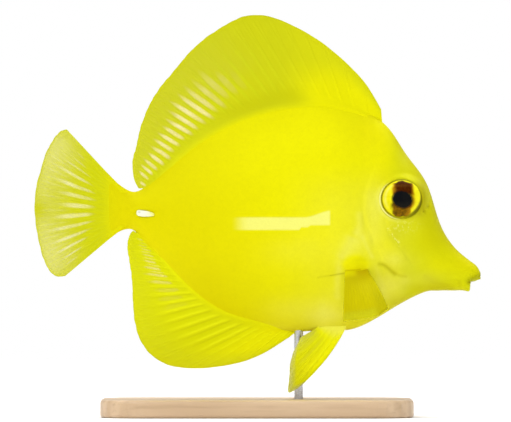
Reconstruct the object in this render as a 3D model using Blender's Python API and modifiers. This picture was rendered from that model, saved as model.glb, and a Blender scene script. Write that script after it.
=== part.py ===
"""A yellow tang, a surgeonfish, swimming level, as a life-size still model on a small display stand.

Metres, +Z up, +X towards the snout, +Y to the fish's left. The origin is on the floor, under the middle of
the model. Sizes are named in millimetres; places along the fish are measured from its middle, and levels from
the body axis, a level line through the narrow root of the tail.
"""

import math

import bpy
import numpy as np
from mathutils import Matrix

MM = 0.001
GAP = 0.3  # between neighbouring pieces

# Stand
BASE_LENGTH = 84.0
BASE_WIDTH = 50.0
BASE_THICKNESS = 4.8
BASE_CORNER = 12.0
BASE_CORNER_STEPS = 8
BASE_EDGE = 0.8
ROD_RADIUS = 1.2
ROD_X = 11.2
ROD_IN_BASE = 3.0
ROD_IN_BELLY = 3.6
ROD_SIDES = 28
AXIS_HEIGHT = 55.5

# Body, as a shipwright's table: place along the fish, back line, belly line, half width, level of that width
STATIONS = (
    (-36.6, 6.5, -5.6, 1.6, 0.2),
    (-33.1, 4.9, -5.5, 2.3, -0.3),
    (-31.0, 5.6, -7.7, 2.7, -0.8),
    (-26.9, 8.8, -12.2, 3.4, -1.2),
    (-22.1, 13.7, -17.6, 4.4, -1.8),
    (-15.9, 18.9, -23.6, 5.6, -2.4),
    (-9.0, 23.1, -28.1, 6.7, -3.0),
    (-1.0, 26.5, -30.6, 7.7, -3.5),
    (8.9, 28.7, -32.7, 8.4, -4.0),
    (18.0, 29.1, -32.4, 8.8, -4.2),
    (25.0, 27.7, -32.2, 8.9, -4.0),
    (30.0, 26.0, -30.3, 8.7, -3.0),
    (35.0, 22.5, -27.4, 8.2, -1.8),
    (40.0, 15.2, -24.4, 7.3, -2.0),
    (45.2, 8.0, -21.8, 5.9, -4.6),
    (48.3, -0.8, -21.5, 4.8, -9.6),
    (50.5, -6.2, -21.5, 4.2, -12.8),
    (53.4, -10.2, -21.4, 3.6, -15.2),
    (56.4, -12.8, -21.5, 3.1, -16.7),
    (57.3, -13.5, -20.9, 3.0, -16.8),
    (57.9, -14.1, -19.5, 2.8, -16.9),
    (59.2, -15.2, -18.9, 2.1, -17.0),
    (60.0, -17.2, -18.2, 0.5, -17.8),
)
BACK_POWER = 1.3  # over 1, a section closes more sharply than an ellipse does
BELLY_POWER = 1.1
SNOUT_POWER = 1.0
SNOUT_FROM = 34.0
SNOUT_TO = 50.0
SNOUT_END = 0.02  # the snout's flat, this far short of its point
PEDUNCLE_FRONT = -26.0

# Gill opening, the line that parts the head from the torso
GILL_LINE_X = 34.7
GILL_BOW = 5.9
GILL_BOW_LEVEL = 0.15  # as a share of the way from the widest level to the back line
GILL_BOW_SPREAD = 0.42
GILL_RIM = 0.35
GILL_RIM_LENGTH = 4.0
COVER_OUTLINE = (
    (31.4, 6.4),
    (32.2, 1.6),
    (33.8, -2.9),
    (36.0, -7.2),
    (39.3, -10.8),
    (41.4, -14.2),
    (39.6, -17.2),
    (35.0, -16.6),
    (31.0, -15.0),
)
COVER_REAR_X = 22.0
COVER_INNER_Y = 5.6
COVER_OUTER_Y = 16.8
COVER_STEPS = 4

# Eye
EYE_X = 38.9
EYE_LEVEL = 3.0
EYE_PLANE_Y = 7.0
EYE_RADIUS = 5.7
EYE_HALF_DEPTH = 3.3
EYE_SUNK = 1.1
EYE_YAW = 9.0
EYE_PITCH = 4.0
ORBIT_FLAT = 5.7
ORBIT_BLEND = 7.9
ORBIT_RIM = 0.4
ORBIT_RIM_RADIUS = 6.1
ORBIT_RIM_SPREAD = 0.65

# Snout
UPPER_LIP = (58.0, -17.2, 1.5, 1.9, 0.35)  # place, level, reach along, reach up, height
LOWER_LIP = (56.2, -20.6, 1.5, 0.9, 0.35)
MOUTH_OUTLINE = ((54.9, -19.15), (56.5, -19.65), (58.6, -19.75), (58.6, -18.95))  # corner, floor, front, roof
MOUTH_HALF_WIDTH = 5.0
NOSTRILS = ((46.0, 0.9, 0.55), (44.9, -0.2, 0.4))  # place, level, radius
NOSTRIL_DEPTH = 0.8

# Fins
FIN_ROWS = (0.0, 0.1, 0.45, 0.88, 1.0)
MEMBRANE = 0.5
RAY_AT_ROOT = 1.0
RAY_AT_TIP = 0.62
RAY_FOOT = 0.2  # half the width of a ray's ridge, as a share of the step from ray to ray
EDGE_CREST = 0.07  # how far in from the fin's edge the first and last ridges stand, as such a share
FORK_FROM = 0.35
FORK_LENGTH = 0.25
FORK_CREST = 0.17
FORK_FOOT = 0.34
ROOT_SHEATH = 0.09
MEDIAN_WAVES = 1.3  # how many times the dorsal and anal fins sway from side to side along their length

# Ray guides of the dorsal and anal fins: ray, root place, tip place, tip level
DORSAL_RAYS = 30
DORSAL_ROOT = 1.7
DORSAL_WAVE = 0.5
DORSAL_GUIDES = (
    (0, 33.4, 33.1, 27.2),
    (1, 29.6, 28.7, 35.0),
    (2, 26.2, 22.8, 41.1),
    (3, 23.1, 17.6, 45.3),
    (4, 20.3, 12.6, 48.3),
    (5.5, 16.4, 4.7, 51.5),
    (7, 12.6, -1.6, 52.5),
    (9, 7.7, -7.0, 50.7),
    (11, 2.8, -13.0, 46.8),
    (13, -1.9, -18.4, 42.0),
    (15, -6.2, -22.6, 37.2),
    (17, -10.5, -26.1, 32.6),
    (20, -16.6, -29.7, 26.6),
    (23, -21.5, -31.9, 20.6),
    (26, -25.8, -33.0, 14.5),
    (28, -28.2, -33.0, 9.4),
    (29, -29.4, -32.4, 6.3),
)
ANAL_RAYS = 23
ANAL_ROOT = 1.6
ANAL_WAVE = -0.5
ANAL_GUIDES = (
    (0, 8.3, 6.8, -35.3),
    (1, 7.3, 1.6, -38.5),
    (2, 6.2, -3.8, -40.7),
    (3, 4.8, -8.9, -41.8),
    (4, 3.2, -13.7, -42.4),
    (5, 1.4, -18.6, -42.5),
    (6, -0.8, -23.4, -41.8),
    (8, -6.7, -29.7, -37.8),
    (10, -12.1, -32.3, -32.5),
    (12, -15.9, -33.1, -26.6),
    (13.8, -18.9, -33.4, -21.0),
    (15.6, -21.7, -33.7, -16.5),
    (17.5, -24.7, -34.1, -12.8),
    (19.3, -27.6, -34.6, -9.7),
    (21.1, -30.4, -34.4, -7.2),
    (22, -31.7, -33.6, -6.6),
)

# Ray guides of the caudal fin: ray, root level, tip place, tip level
CAUDAL_RAYS = 16
CAUDAL_WAVE = 0.7
CAUDAL_GUIDES = (
    (0, 6.3, -51.2, 21.9),
    (1, 5.3, -52.9, 21.5),
    (2.5, 3.95, -54.9, 18.6),
    (3.5, 3.2, -55.9, 16.7),
    (4.5, 2.5, -57.1, 13.6),
    (5.5, 1.8, -58.5, 10.1),
    (6.5, 1.0, -59.4, 5.9),
    (7.5, 0.2, -59.9, 2.0),
    (8.5, -0.6, -59.85, -1.8),
    (9.5, -1.4, -59.0, -6.0),
    (10.5, -2.1, -58.2, -10.2),
    (11.5, -2.7, -57.1, -13.5),
    (12.5, -3.3, -56.2, -16.0),
    (13.5, -4.0, -55.1, -17.7),
    (14.3, -4.8, -53.7, -18.4),
    (15, -5.4, -51.8, -17.9),
)

# Ray guides of the paired fins: root place, root level (on the pelvic fins, root distance from the
# middle plane), tip place, tip distance from the middle plane, tip level
PECTORAL_RAYS = 15
PECTORAL_ROOT = 1.9
PECTORAL_BOW = 1.3
PECTORAL_GUIDES = (
    (30.0, -15.4, 35.0, 24.5, -25.8),
    (28.0, -15.8, 32.4, 21.6, -28.0),
    (25.9, -16.4, 27.6, 16.0, -29.6),
    (23.9, -17.2, 22.9, 11.0, -30.2),
)
PELVIC_RAYS = 6
PELVIC_ROOT = 1.3
PELVIC_BOW = 0.5
PELVIC_SWEEP = 1.7
PELVIC_GUIDES = (
    (23.4, 1.7, 12.1, 5.0, -47.0),
    (22.1, 1.7, 8.9, 5.4, -49.0),
    (20.6, 1.7, 8.3, 5.2, -46.0),
    (19.1, 1.7, 8.4, 4.9, -42.0),
    (17.8, 1.7, 9.4, 4.4, -38.2),
    (16.2, 1.7, 11.4, 3.6, -34.3),
)

# Tail spine, the blade that names the surgeonfishes
SPINE_X = -30.0
SPINE_LEVEL = -1.0
SPINE_HALF_LENGTH = 2.6
SPINE_HALF_HEIGHT = 0.8
SPINE_HALF_THICKNESS = 0.8
SPINE_YAW = 9.0

# Fineness of the solids
BODY_SAMPLES = 1500
BELLY_SHARE = 0.5  # how much the belly line's slope counts beside the back line's in spacing the sections
RING_STEPS = 24  # from belly line to back line, on each side
HEAD_STEPS = 26
TORSO_STEPS = 18
PEDUNCLE_STEPS = 7
EYE_STEPS = 24
SOCKET_STEPS = 28

YELLOW = (0.87, 0.83, 0.01)
FIN_YELLOW = (0.66, 0.66, 0.03)
EYE_DARK = (0.05, 0.03, 0.02)
SPINE_WHITE = (0.9, 0.9, 0.86)
WOOD = (0.62, 0.45, 0.28)
STEEL = (0.6, 0.6, 0.6)


def spline(knots, values, at):
    """Natural cubic spline through values at knots, read at the given places."""
    knots = np.asarray(knots, float)
    values = np.asarray(values, float)
    step = np.diff(knots)
    slope = np.diff(values) / step
    count = len(knots)
    matrix = np.eye(count)
    right = np.zeros(count)
    for i in range(1, count - 1):
        matrix[i, i - 1:i + 2] = step[i - 1], 2 * (step[i - 1] + step[i]), step[i]
        right[i] = 6 * (slope[i] - slope[i - 1])
    bend = np.linalg.solve(matrix, right)
    i = np.clip(np.searchsorted(knots, at, side="right") - 1, 0, count - 2)
    t = np.asarray(at, float) - knots[i]
    first = slope[i] - step[i] * (2 * bend[i] + bend[i + 1]) / 6
    return values[i] + t * (first + t * (bend[i] / 2 + t * (bend[i + 1] - bend[i]) / (6 * step[i])))


def smooth_step(x, low, high):
    t = np.clip((x - low) / (high - low), 0, 1)
    return t * t * (3 - 2 * t)


def measure(*columns):
    """How far along a path each of its points lies, from 0 to 1."""
    steps = np.sqrt(sum(np.diff(np.asarray(c, float)) ** 2 for c in columns))
    along = np.concatenate([[0], np.cumsum(steps)])
    return along / along[-1]


table = np.array(STATIONS).T
table_along = measure(table[0], table[1], table[2] * BELLY_SHARE)
along_body = np.linspace(0, 1, BODY_SAMPLES)
line_x, line_back, line_belly, line_half, line_level = (
    spline(table_along, column, along_body) for column in table
)
line_x = np.maximum.accumulate(line_x)


def back(x):
    return np.interp(x, line_x, line_back)


def belly(x):
    return np.interp(x, line_x, line_belly)


def half_width(x):
    return np.interp(x, line_x, line_half)


def widest_level(x):
    return np.interp(x, line_x, line_level)


def section_power(x, upper):
    trunk = np.where(upper, BACK_POWER, BELLY_POWER)
    return trunk + (SNOUT_POWER - trunk) * smooth_step(x, SNOUT_FROM, SNOUT_TO)


def gill_line(share):
    """Where the gill opening lies, for a share from -1, on the belly line, to 1, on the back line."""
    return GILL_LINE_X - GILL_BOW * np.exp(-(((share - GILL_BOW_LEVEL) / GILL_BOW_SPREAD) ** 2))


def bump(x, z, place):
    px, pz, rx, rz, height = place
    return height * np.exp(-(((x - px) / rx) ** 2) - ((z - pz) / rz) ** 2)


def flank(x, z):
    """Half thickness of the body at a place of its side view."""
    level = widest_level(x)
    upper = z > level
    reach = np.where(upper, back(x) - level, level - belly(x))
    share = np.clip(np.where(upper, z - level, level - z) / np.maximum(reach, 1e-6), 0, 1)
    fullness = (1 - share**2) ** (section_power(x, upper) / 2)
    y = half_width(x) * fullness
    signed = np.where(upper, share, -share)
    ahead = x - gill_line(signed)
    rim = GILL_RIM * np.exp(-((ahead / GILL_RIM_LENGTH) ** 2)) * (ahead > 0)
    from_eye = np.hypot(x - EYE_X, z - EYE_LEVEL)
    tilt_x = math.tan(math.radians(EYE_YAW))
    tilt_z = math.tan(math.radians(EYE_PITCH))
    plane = EYE_PLANE_Y - tilt_x * (x - EYE_X) - tilt_z * (z - EYE_LEVEL)
    blend = 1 - smooth_step(from_eye, ORBIT_FLAT, ORBIT_BLEND)
    y = y + (plane - y) * blend
    orbit = ORBIT_RIM * np.exp(-(((from_eye - ORBIT_RIM_RADIUS) / ORBIT_RIM_SPREAD) ** 2))
    return y + (rim + orbit + bump(x, z, UPPER_LIP) + bump(x, z, LOWER_LIP)) * np.sqrt(fullness)


def ridge_level(x, y, upper):
    """Level of the back's or belly's surface at a distance y from the middle plane."""
    share = np.sqrt(1 - np.clip(np.abs(y) / half_width(x), 0, 1) ** (2 / section_power(x, upper)))
    level = widest_level(x)
    return level + np.where(upper, back(x) - level, belly(x) - level) * share


def to_world(points):
    """Millimetres from the body axis to metres from the floor."""
    return (np.asarray(points, float) + (0, 0, AXIS_HEIGHT)) * MM


def make_material(name, colour, roughness, metallic=0.0):
    material = bpy.data.materials.new(name)
    material.use_nodes = True
    shader = material.node_tree.nodes["Principled BSDF"]
    shader.inputs["Base Color"].default_value = (*colour, 1)
    shader.inputs["Roughness"].default_value = roughness
    shader.inputs["Metallic"].default_value = metallic
    return material


def link(obj, collection, material=None):
    for holder in list(obj.users_collection):
        holder.objects.unlink(obj)
    collection.objects.link(obj)
    if material is not None:
        obj.data.materials.clear()
        obj.data.materials.append(material)
    return obj


def new_mesh_object(name, points, faces, collection, material=None):
    mesh = bpy.data.meshes.new(name)
    mesh.from_pydata([tuple(p) for p in points], [], faces)
    mesh.update()
    mesh.shade_smooth()
    mesh.set_sharp_from_angle(angle=math.radians(40))
    return link(bpy.data.objects.new(name, mesh), collection, material)


def loft(name, x_of, steps, collection, material):
    """A closed length of the body. x_of gives the places of one section line from its share up the flank."""
    angles = np.linspace(-math.pi / 2, math.pi / 2, RING_STEPS + 1)
    share = np.sin(angles)
    rings = []
    for u in steps:
        x = x_of(u, share)
        level = widest_level(x)
        z = level + np.where(share > 0, back(x) - level, level - belly(x)) * share
        y = flank(x, z)
        y[[0, -1]] = 0
        right = np.stack([x, -y, z], 1)
        left = np.stack([x, y, z], 1)[-2:0:-1]
        rings.append(np.concatenate([right, left]))
    round_count = 2 * RING_STEPS
    faces = []
    for i in range(len(rings) - 1):
        here, there = i * round_count, (i + 1) * round_count
        for j in range(round_count):
            k = (j + 1) % round_count
            faces.append((here + j, there + j, there + k, here + k))
    for start, flip in ((0, False), ((len(rings) - 1) * round_count, True)):
        for j in range(RING_STEPS):
            right = (start + j, start + j + 1)
            left = (start + (round_count - j - 1) % round_count, start + (round_count - j) % round_count)
            corners = [right[0], right[1], left[0], left[1]]
            corners = [c for n, c in enumerate(corners) if c not in corners[:n]]
            faces.append(tuple(corners[::-1] if flip else corners))
    return new_mesh_object(name, to_world(np.concatenate(rings)), faces, collection, material)


def even_steps(low, high, count):
    """Stations evenly far apart along the outline, from low to high, as shares of that length."""
    x = np.linspace(low, high, 400)
    along = measure(x, back(x), belly(x) * BELLY_SHARE)
    return (np.interp(np.linspace(0, 1, count + 1), along, x) - low) / (high - low)


def head_x(u, share):
    start = gill_line(share)
    return start + (line_x[-1] - SNOUT_END - start) * u


def torso_x(u, share):
    end = gill_line(share) - GAP * 1.3
    return PEDUNCLE_FRONT + (end - PEDUNCLE_FRONT) * u


def peduncle_x(u, share):
    return line_x[0] + (PEDUNCLE_FRONT - GAP - line_x[0]) * u + 0 * share


def fin_columns(rays, forked):
    """Places across the fin, as shares of its root, with 1 where a ray's crest stands and 1 where it forks."""
    step = 1 / (rays - 1)
    pattern = [(-FORK_FOOT, 0, 0), (-FORK_CREST, 1, 0), (0, 1, 1), (FORK_CREST, 1, 0), (FORK_FOOT, 0, 0)]
    if not forked:
        pattern = [(-RAY_FOOT, 0, 0), (0, 1, 0), (RAY_FOOT, 0, 0)]
    columns = [(0.0, 0, 0)]
    for i in range(rays):
        for offset, crest, fork in pattern:
            place = (i + offset) * step
            inside = 0 < place < 1
            if inside:
                columns.append((place, crest, fork))
        if i == 0:
            columns.append((EDGE_CREST * step, 1, 0))
        if i == rays - 1:
            columns.append((1 - EDGE_CREST * step, 1, 0))
    columns.append((1.0, 0, 0))
    return np.array(sorted(columns)).T


def ray_thickness(crest, fork, rows, root_thickness):
    """Thickness over the fin: membrane, ridges that thin to the tips, forks, and the sheath at the root."""
    v = np.asarray(rows)[None, :]
    ridge = RAY_AT_ROOT + (RAY_AT_TIP - RAY_AT_ROOT) * v
    opened = smooth_step(v, FORK_FROM, FORK_FROM + FORK_LENGTH) * fork[:, None]
    thick = MEMBRANE + (ridge - MEMBRANE) * crest[:, None] * (1 - opened)
    sheath = np.exp(-v / ROOT_SHEATH)
    return np.maximum(thick, thick + (root_thickness - thick) * sheath)


def bow_out(v, amount, direction):
    """How far rays that bow stand from their chords: most at mid-length, none at root and tip."""
    return amount[:, None, None] * (4 * v * (1 - v))[None, :, None] * np.array(direction, float)


def thin_solid(name, middle, thickness, root_at, collection, material):
    """A closed fin round its middle surface (columns, rows, 3), with sharp side edges and tips. root_at
    gives a point of the root's face from the middle point and the offset from it."""
    across = np.gradient(middle, axis=0)
    along = np.gradient(middle, axis=1)
    normal = np.cross(across, along)
    normal /= np.maximum(np.linalg.norm(normal, axis=2, keepdims=True), 1e-9)
    count, rows = middle.shape[:2]
    points, front, rear = [], np.zeros((count, rows), int), np.zeros((count, rows), int)

    def add(point):
        points.append(point)
        return len(points) - 1

    for j in range(count):
        for k in range(rows):
            offset = normal[j, k] * thickness[j, k] / 2
            if j in (0, count - 1) or k == rows - 1:
                at = root_at(middle[j, k], 0 * offset) if k == 0 else middle[j, k]
                front[j, k] = rear[j, k] = add(at)
            elif k == 0:
                front[j, k] = add(root_at(middle[j, k], offset))
                rear[j, k] = add(root_at(middle[j, k], -offset))
            else:
                front[j, k] = add(middle[j, k] + offset)
                rear[j, k] = add(middle[j, k] - offset)
    core = [front[0, 0]] + [add(root_at(middle[j, 0], np.zeros(3))) for j in range(1, count - 1)]
    core.append(front[-1, 0])
    faces = []

    def face(*corners):
        kept = [c for n, c in enumerate(corners) if c not in corners[:n]]
        if len(kept) == 3:
            faces.append(tuple(kept))

    for j in range(count - 1):
        for k in range(rows - 1):
            a, b, c, d = front[j, k], front[j + 1, k], front[j + 1, k + 1], front[j, k + 1]
            face(a, b, c)
            face(a, c, d)
            a, b, c, d = rear[j, k], rear[j + 1, k], rear[j + 1, k + 1], rear[j, k + 1]
            face(a, c, b)
            face(a, d, c)
        for side, flip in ((front, False), (rear, True)):
            a, b, c, d = core[j], core[j + 1], side[j + 1, 0], side[j, 0]
            if flip:
                face(a, c, b)
                face(a, d, c)
            else:
                face(a, b, c)
                face(a, c, d)
    return new_mesh_object(name, to_world(points), faces, collection, material)


def median_fin(name, guides, rays, root_thickness, wave, upper, collection, material):
    """Dorsal or anal fin. Its root runs along the back or belly line."""
    guides = np.array(guides).T
    sign = 1 if upper else -1
    outline = back if upper else belly
    share, crest, fork = fin_columns(rays, False)
    root_x, tip_x, tip_z = (spline(guides[0] / (rays - 1), column, share) for column in guides[1:])
    root = np.stack([root_x, 0 * root_x, outline(root_x) + sign * GAP], 1)
    tip = np.stack([tip_x, 0 * tip_x, tip_z], 1)
    v = np.array(FIN_ROWS)
    middle = root[:, None] + (tip - root)[:, None] * v[None, :, None]
    middle[:, :, 1] = wave * np.sin(2 * math.pi * MEDIAN_WAVES * share)[:, None] * v**2

    def root_at(point, offset):
        x, y = point[0] + offset[0], offset[1]
        return np.array([x, y, float(ridge_level(x, y, upper)) + sign * GAP])

    thickness = ray_thickness(crest, fork, v, root_thickness)
    return thin_solid(name, middle, thickness, root_at, collection, material)


def caudal_fin(collection, material):
    """Tail fin. Its root has the outline of the end of the tail's root, and its rays fork."""
    guides = np.array(CAUDAL_GUIDES).T
    share, crest, fork = fin_columns(CAUDAL_RAYS, True)
    root_z, tip_x, tip_z = (spline(guides[0] / (CAUDAL_RAYS - 1), column, share) for column in guides[1:])
    root_x = np.full_like(share, line_x[0] - GAP)
    root = np.stack([root_x, 0 * root_x, root_z], 1)
    tip = np.stack([tip_x, 0 * tip_x, tip_z], 1)
    v = np.array(FIN_ROWS)
    middle = root[:, None] + (tip - root)[:, None] * v[None, :, None]
    middle[:, :, 1] = CAUDAL_WAVE * np.sin(2 * math.pi * share)[:, None] * v**2
    end_thickness = np.maximum(2 * flank(line_x[0] + 0 * root_z, root_z), MEMBRANE)[:, None]

    def root_at(point, offset):
        return point + offset * (0, 1, 0)

    thickness = ray_thickness(crest, fork, v, end_thickness)
    return thin_solid("caudal_fin", middle, thickness, root_at, collection, material)


def pectoral_fin(name, side, collection, material):
    """Pectoral fin, swept down and out. Its root lies along the flank, and side is -1 on the right."""
    guides = np.array(PECTORAL_GUIDES).T
    knots = measure(guides[0], guides[1])
    share, crest, fork = fin_columns(PECTORAL_RAYS, False)
    root_x, root_z, tip_x, tip_y, tip_z = (spline(knots, column, share) for column in guides)
    root = np.stack([root_x, side * (flank(root_x, root_z) + GAP), root_z], 1)
    tip = np.stack([tip_x, side * tip_y, tip_z], 1)
    v = np.array(FIN_ROWS)
    middle = root[:, None] + (tip - root)[:, None] * v[None, :, None]
    middle += bow_out(v, PECTORAL_BOW + 0 * share, (0, 0.7 * side, 0.7))

    def root_at(point, offset):
        x, z = point[0] + offset[0], point[2] + offset[2]
        return np.array([x, side * (float(flank(x, z)) + GAP), z])

    thickness = ray_thickness(crest, fork, v, PECTORAL_ROOT)
    return thin_solid(name, middle, thickness, root_at, collection, material)


def pelvic_fin(name, side, collection, material):
    """Pelvic fin, one spine and five rays, under the breast."""
    guides = np.array(PELVIC_GUIDES).T
    knots = measure(guides[0])
    share, crest, fork = fin_columns(PELVIC_RAYS, True)
    root_x, root_y, tip_x, tip_y, tip_z = (spline(knots, column, share) for column in guides)
    root = np.stack([root_x, side * root_y, ridge_level(root_x, root_y, False) - GAP], 1)
    tip = np.stack([tip_x, side * tip_y, tip_z], 1)
    v = np.array(FIN_ROWS)
    middle = root[:, None] + (tip - root)[:, None] * v[None, :, None]
    middle += bow_out(v, PELVIC_BOW + 0 * share, (0, side, 0))
    middle += bow_out(v, PELVIC_SWEEP * (1 - share), (1, 0, 0))

    def root_at(point, offset):
        x, y = point[0] + offset[0], point[1] + offset[1]
        return np.array([x, y, float(ridge_level(x, y, False)) - GAP])

    thickness = ray_thickness(crest, fork, v, PELVIC_ROOT)
    return thin_solid(name, middle, thickness, root_at, collection, material)


def scaling(factors):
    return Matrix.Diagonal((*factors, 1))


def ellipsoid(name, centre, radii, yaw, pitch, segments, rings, collection, material=None):
    """An ellipsoid with its pole along Y, turned about Z by yaw and then tipped by pitch, in degrees."""
    bpy.ops.mesh.primitive_uv_sphere_add(segments=segments, ring_count=rings, radius=MM)
    obj = bpy.context.object
    obj.name = obj.data.name = name
    obj.data.transform(scaling((radii[0], radii[2], radii[1])))
    obj.rotation_euler = (math.radians(90 + pitch), 0, math.radians(yaw))
    obj.location = to_world(centre)
    obj.data.shade_smooth()
    return link(obj, collection, material)


def eye_centre(side):
    return EYE_X, side * (EYE_PLANE_Y - EYE_SUNK), EYE_LEVEL


def add_eye(name, side, grow, segments, collection, material=None):
    radii = (EYE_RADIUS + grow, EYE_HALF_DEPTH + grow, EYE_RADIUS + grow)
    yaw, pitch = -side * EYE_YAW, side * EYE_PITCH
    return ellipsoid(name, eye_centre(side), radii, yaw, pitch, segments, segments // 2, collection, material)


def add_tail_spine(name, side, grow, segments, collection, material=None):
    """The blade lies half sunk in the flank, its point turned forward and a little out."""
    surface = float(flank(SPINE_X, SPINE_LEVEL))
    centre = (SPINE_X, side * surface, SPINE_LEVEL)
    radii = (SPINE_HALF_LENGTH + grow, SPINE_HALF_THICKNESS + grow, SPINE_HALF_HEIGHT + grow)
    return ellipsoid(name, centre, radii, side * SPINE_YAW, 0, segments, segments // 2, collection, material)


def cylinder(name, radius, low, high, collection, material=None):
    """An upright round rod under the belly, between two levels in world millimetres."""
    bpy.ops.mesh.primitive_cylinder_add(vertices=ROD_SIDES, radius=radius * MM, depth=(high - low) * MM)
    obj = bpy.context.object
    obj.name = obj.data.name = name
    obj.location = (ROD_X * MM, 0, (low + high) / 2 * MM)
    obj.data.shade_smooth()
    obj.data.set_sharp_from_angle(angle=math.radians(40))
    return link(obj, collection, material)


def prism(name, outline, low_y, high_y, collection):
    """A side-view outline carried across from low_y to high_y."""
    count = len(outline)
    points = [(x, y, z) for y in (low_y, high_y) for x, z in outline]
    faces = [tuple(range(count)), tuple(range(2 * count - 1, count - 1, -1))]
    faces += [(i, count + i, count + (i + 1) % count, (i + 1) % count) for i in range(count)]
    obj = new_mesh_object(name, to_world(points), faces, collection)
    area = sum(a[0] * b[1] - b[0] * a[1] for a, b in zip(outline, [*outline[1:], outline[0]]))
    if area < 0:
        obj.data.flip_normals()
    return obj


def cover_outline(shrink):
    """The gill cover in side view: rounded in front, open behind. shrink draws its front edge in."""
    knots = measure(*np.array(COVER_OUTLINE).T)
    at = np.linspace(0, 1, COVER_STEPS * (len(COVER_OUTLINE) - 1) + 1)
    x, z = (spline(knots, column, at) for column in np.array(COVER_OUTLINE).T)
    slope_x, slope_z = np.gradient(x), np.gradient(z)
    length = np.hypot(slope_x, slope_z)
    x = x + slope_z / length * shrink
    z = z - slope_x / length * shrink
    line = list(zip(x.tolist(), z.tolist()))
    return [(COVER_REAR_X, line[0][1]), *line, (COVER_REAR_X, line[-1][1])]


def boolean(obj, operation, collection=None, other=None):
    modifier = obj.modifiers.new(operation.title(), "BOOLEAN")
    modifier.operation = operation
    modifier.solver = "EXACT"
    if other is not None:
        modifier.object = other
    else:
        modifier.operand_type = "COLLECTION"
        modifier.collection = collection


def cutter_set(name, parent):
    collection = bpy.data.collections.new(name)
    parent.children.link(collection)
    return collection


def add_stand(collection, cutters, wood, steel):
    """A flat base with rounded corners, and one rod up into the belly."""
    bpy.ops.mesh.primitive_cube_add(size=1)
    base = bpy.context.object
    base.name = base.data.name = "stand_base"
    base.data.transform(scaling((BASE_LENGTH * MM, BASE_WIDTH * MM, BASE_THICKNESS * MM)))
    base.location = (0, 0, BASE_THICKNESS / 2 * MM)
    corner = base.modifiers.new("Corners", "BEVEL")
    corner.width = BASE_CORNER * MM
    corner.segments = BASE_CORNER_STEPS
    corner.limit_method = "WEIGHT"
    weights = base.data.attributes.new("bevel_weight_edge", "FLOAT", "EDGE")
    for edge in base.data.edges:
        ends = [base.data.vertices[v].co for v in edge.vertices]
        upright = abs(ends[0].z - ends[1].z) > abs(ends[0].x - ends[1].x) + abs(ends[0].y - ends[1].y)
        weights.data[edge.index].value = 1.0 if upright else 0.0
    rim = base.modifiers.new("Rim", "BEVEL")
    rim.width = BASE_EDGE * MM
    rim.segments = 2
    rim.limit_method = "ANGLE"
    rim.angle_limit = math.radians(60)
    link(base, collection, wood)
    socket_floor = BASE_THICKNESS - ROD_IN_BASE
    cutter = cylinder("base_socket", ROD_RADIUS + GAP, socket_floor, 2 * BASE_THICKNESS, cutters)
    boolean(base, "DIFFERENCE", other=cutter)
    top = AXIS_HEIGHT + float(belly(ROD_X)) + ROD_IN_BELLY
    cylinder("stand_rod", ROD_RADIUS, socket_floor + GAP, top - GAP, collection, steel)
    return cylinder("belly_socket", ROD_RADIUS + GAP, top - 2 * ROD_IN_BELLY, top, cutters)


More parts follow.
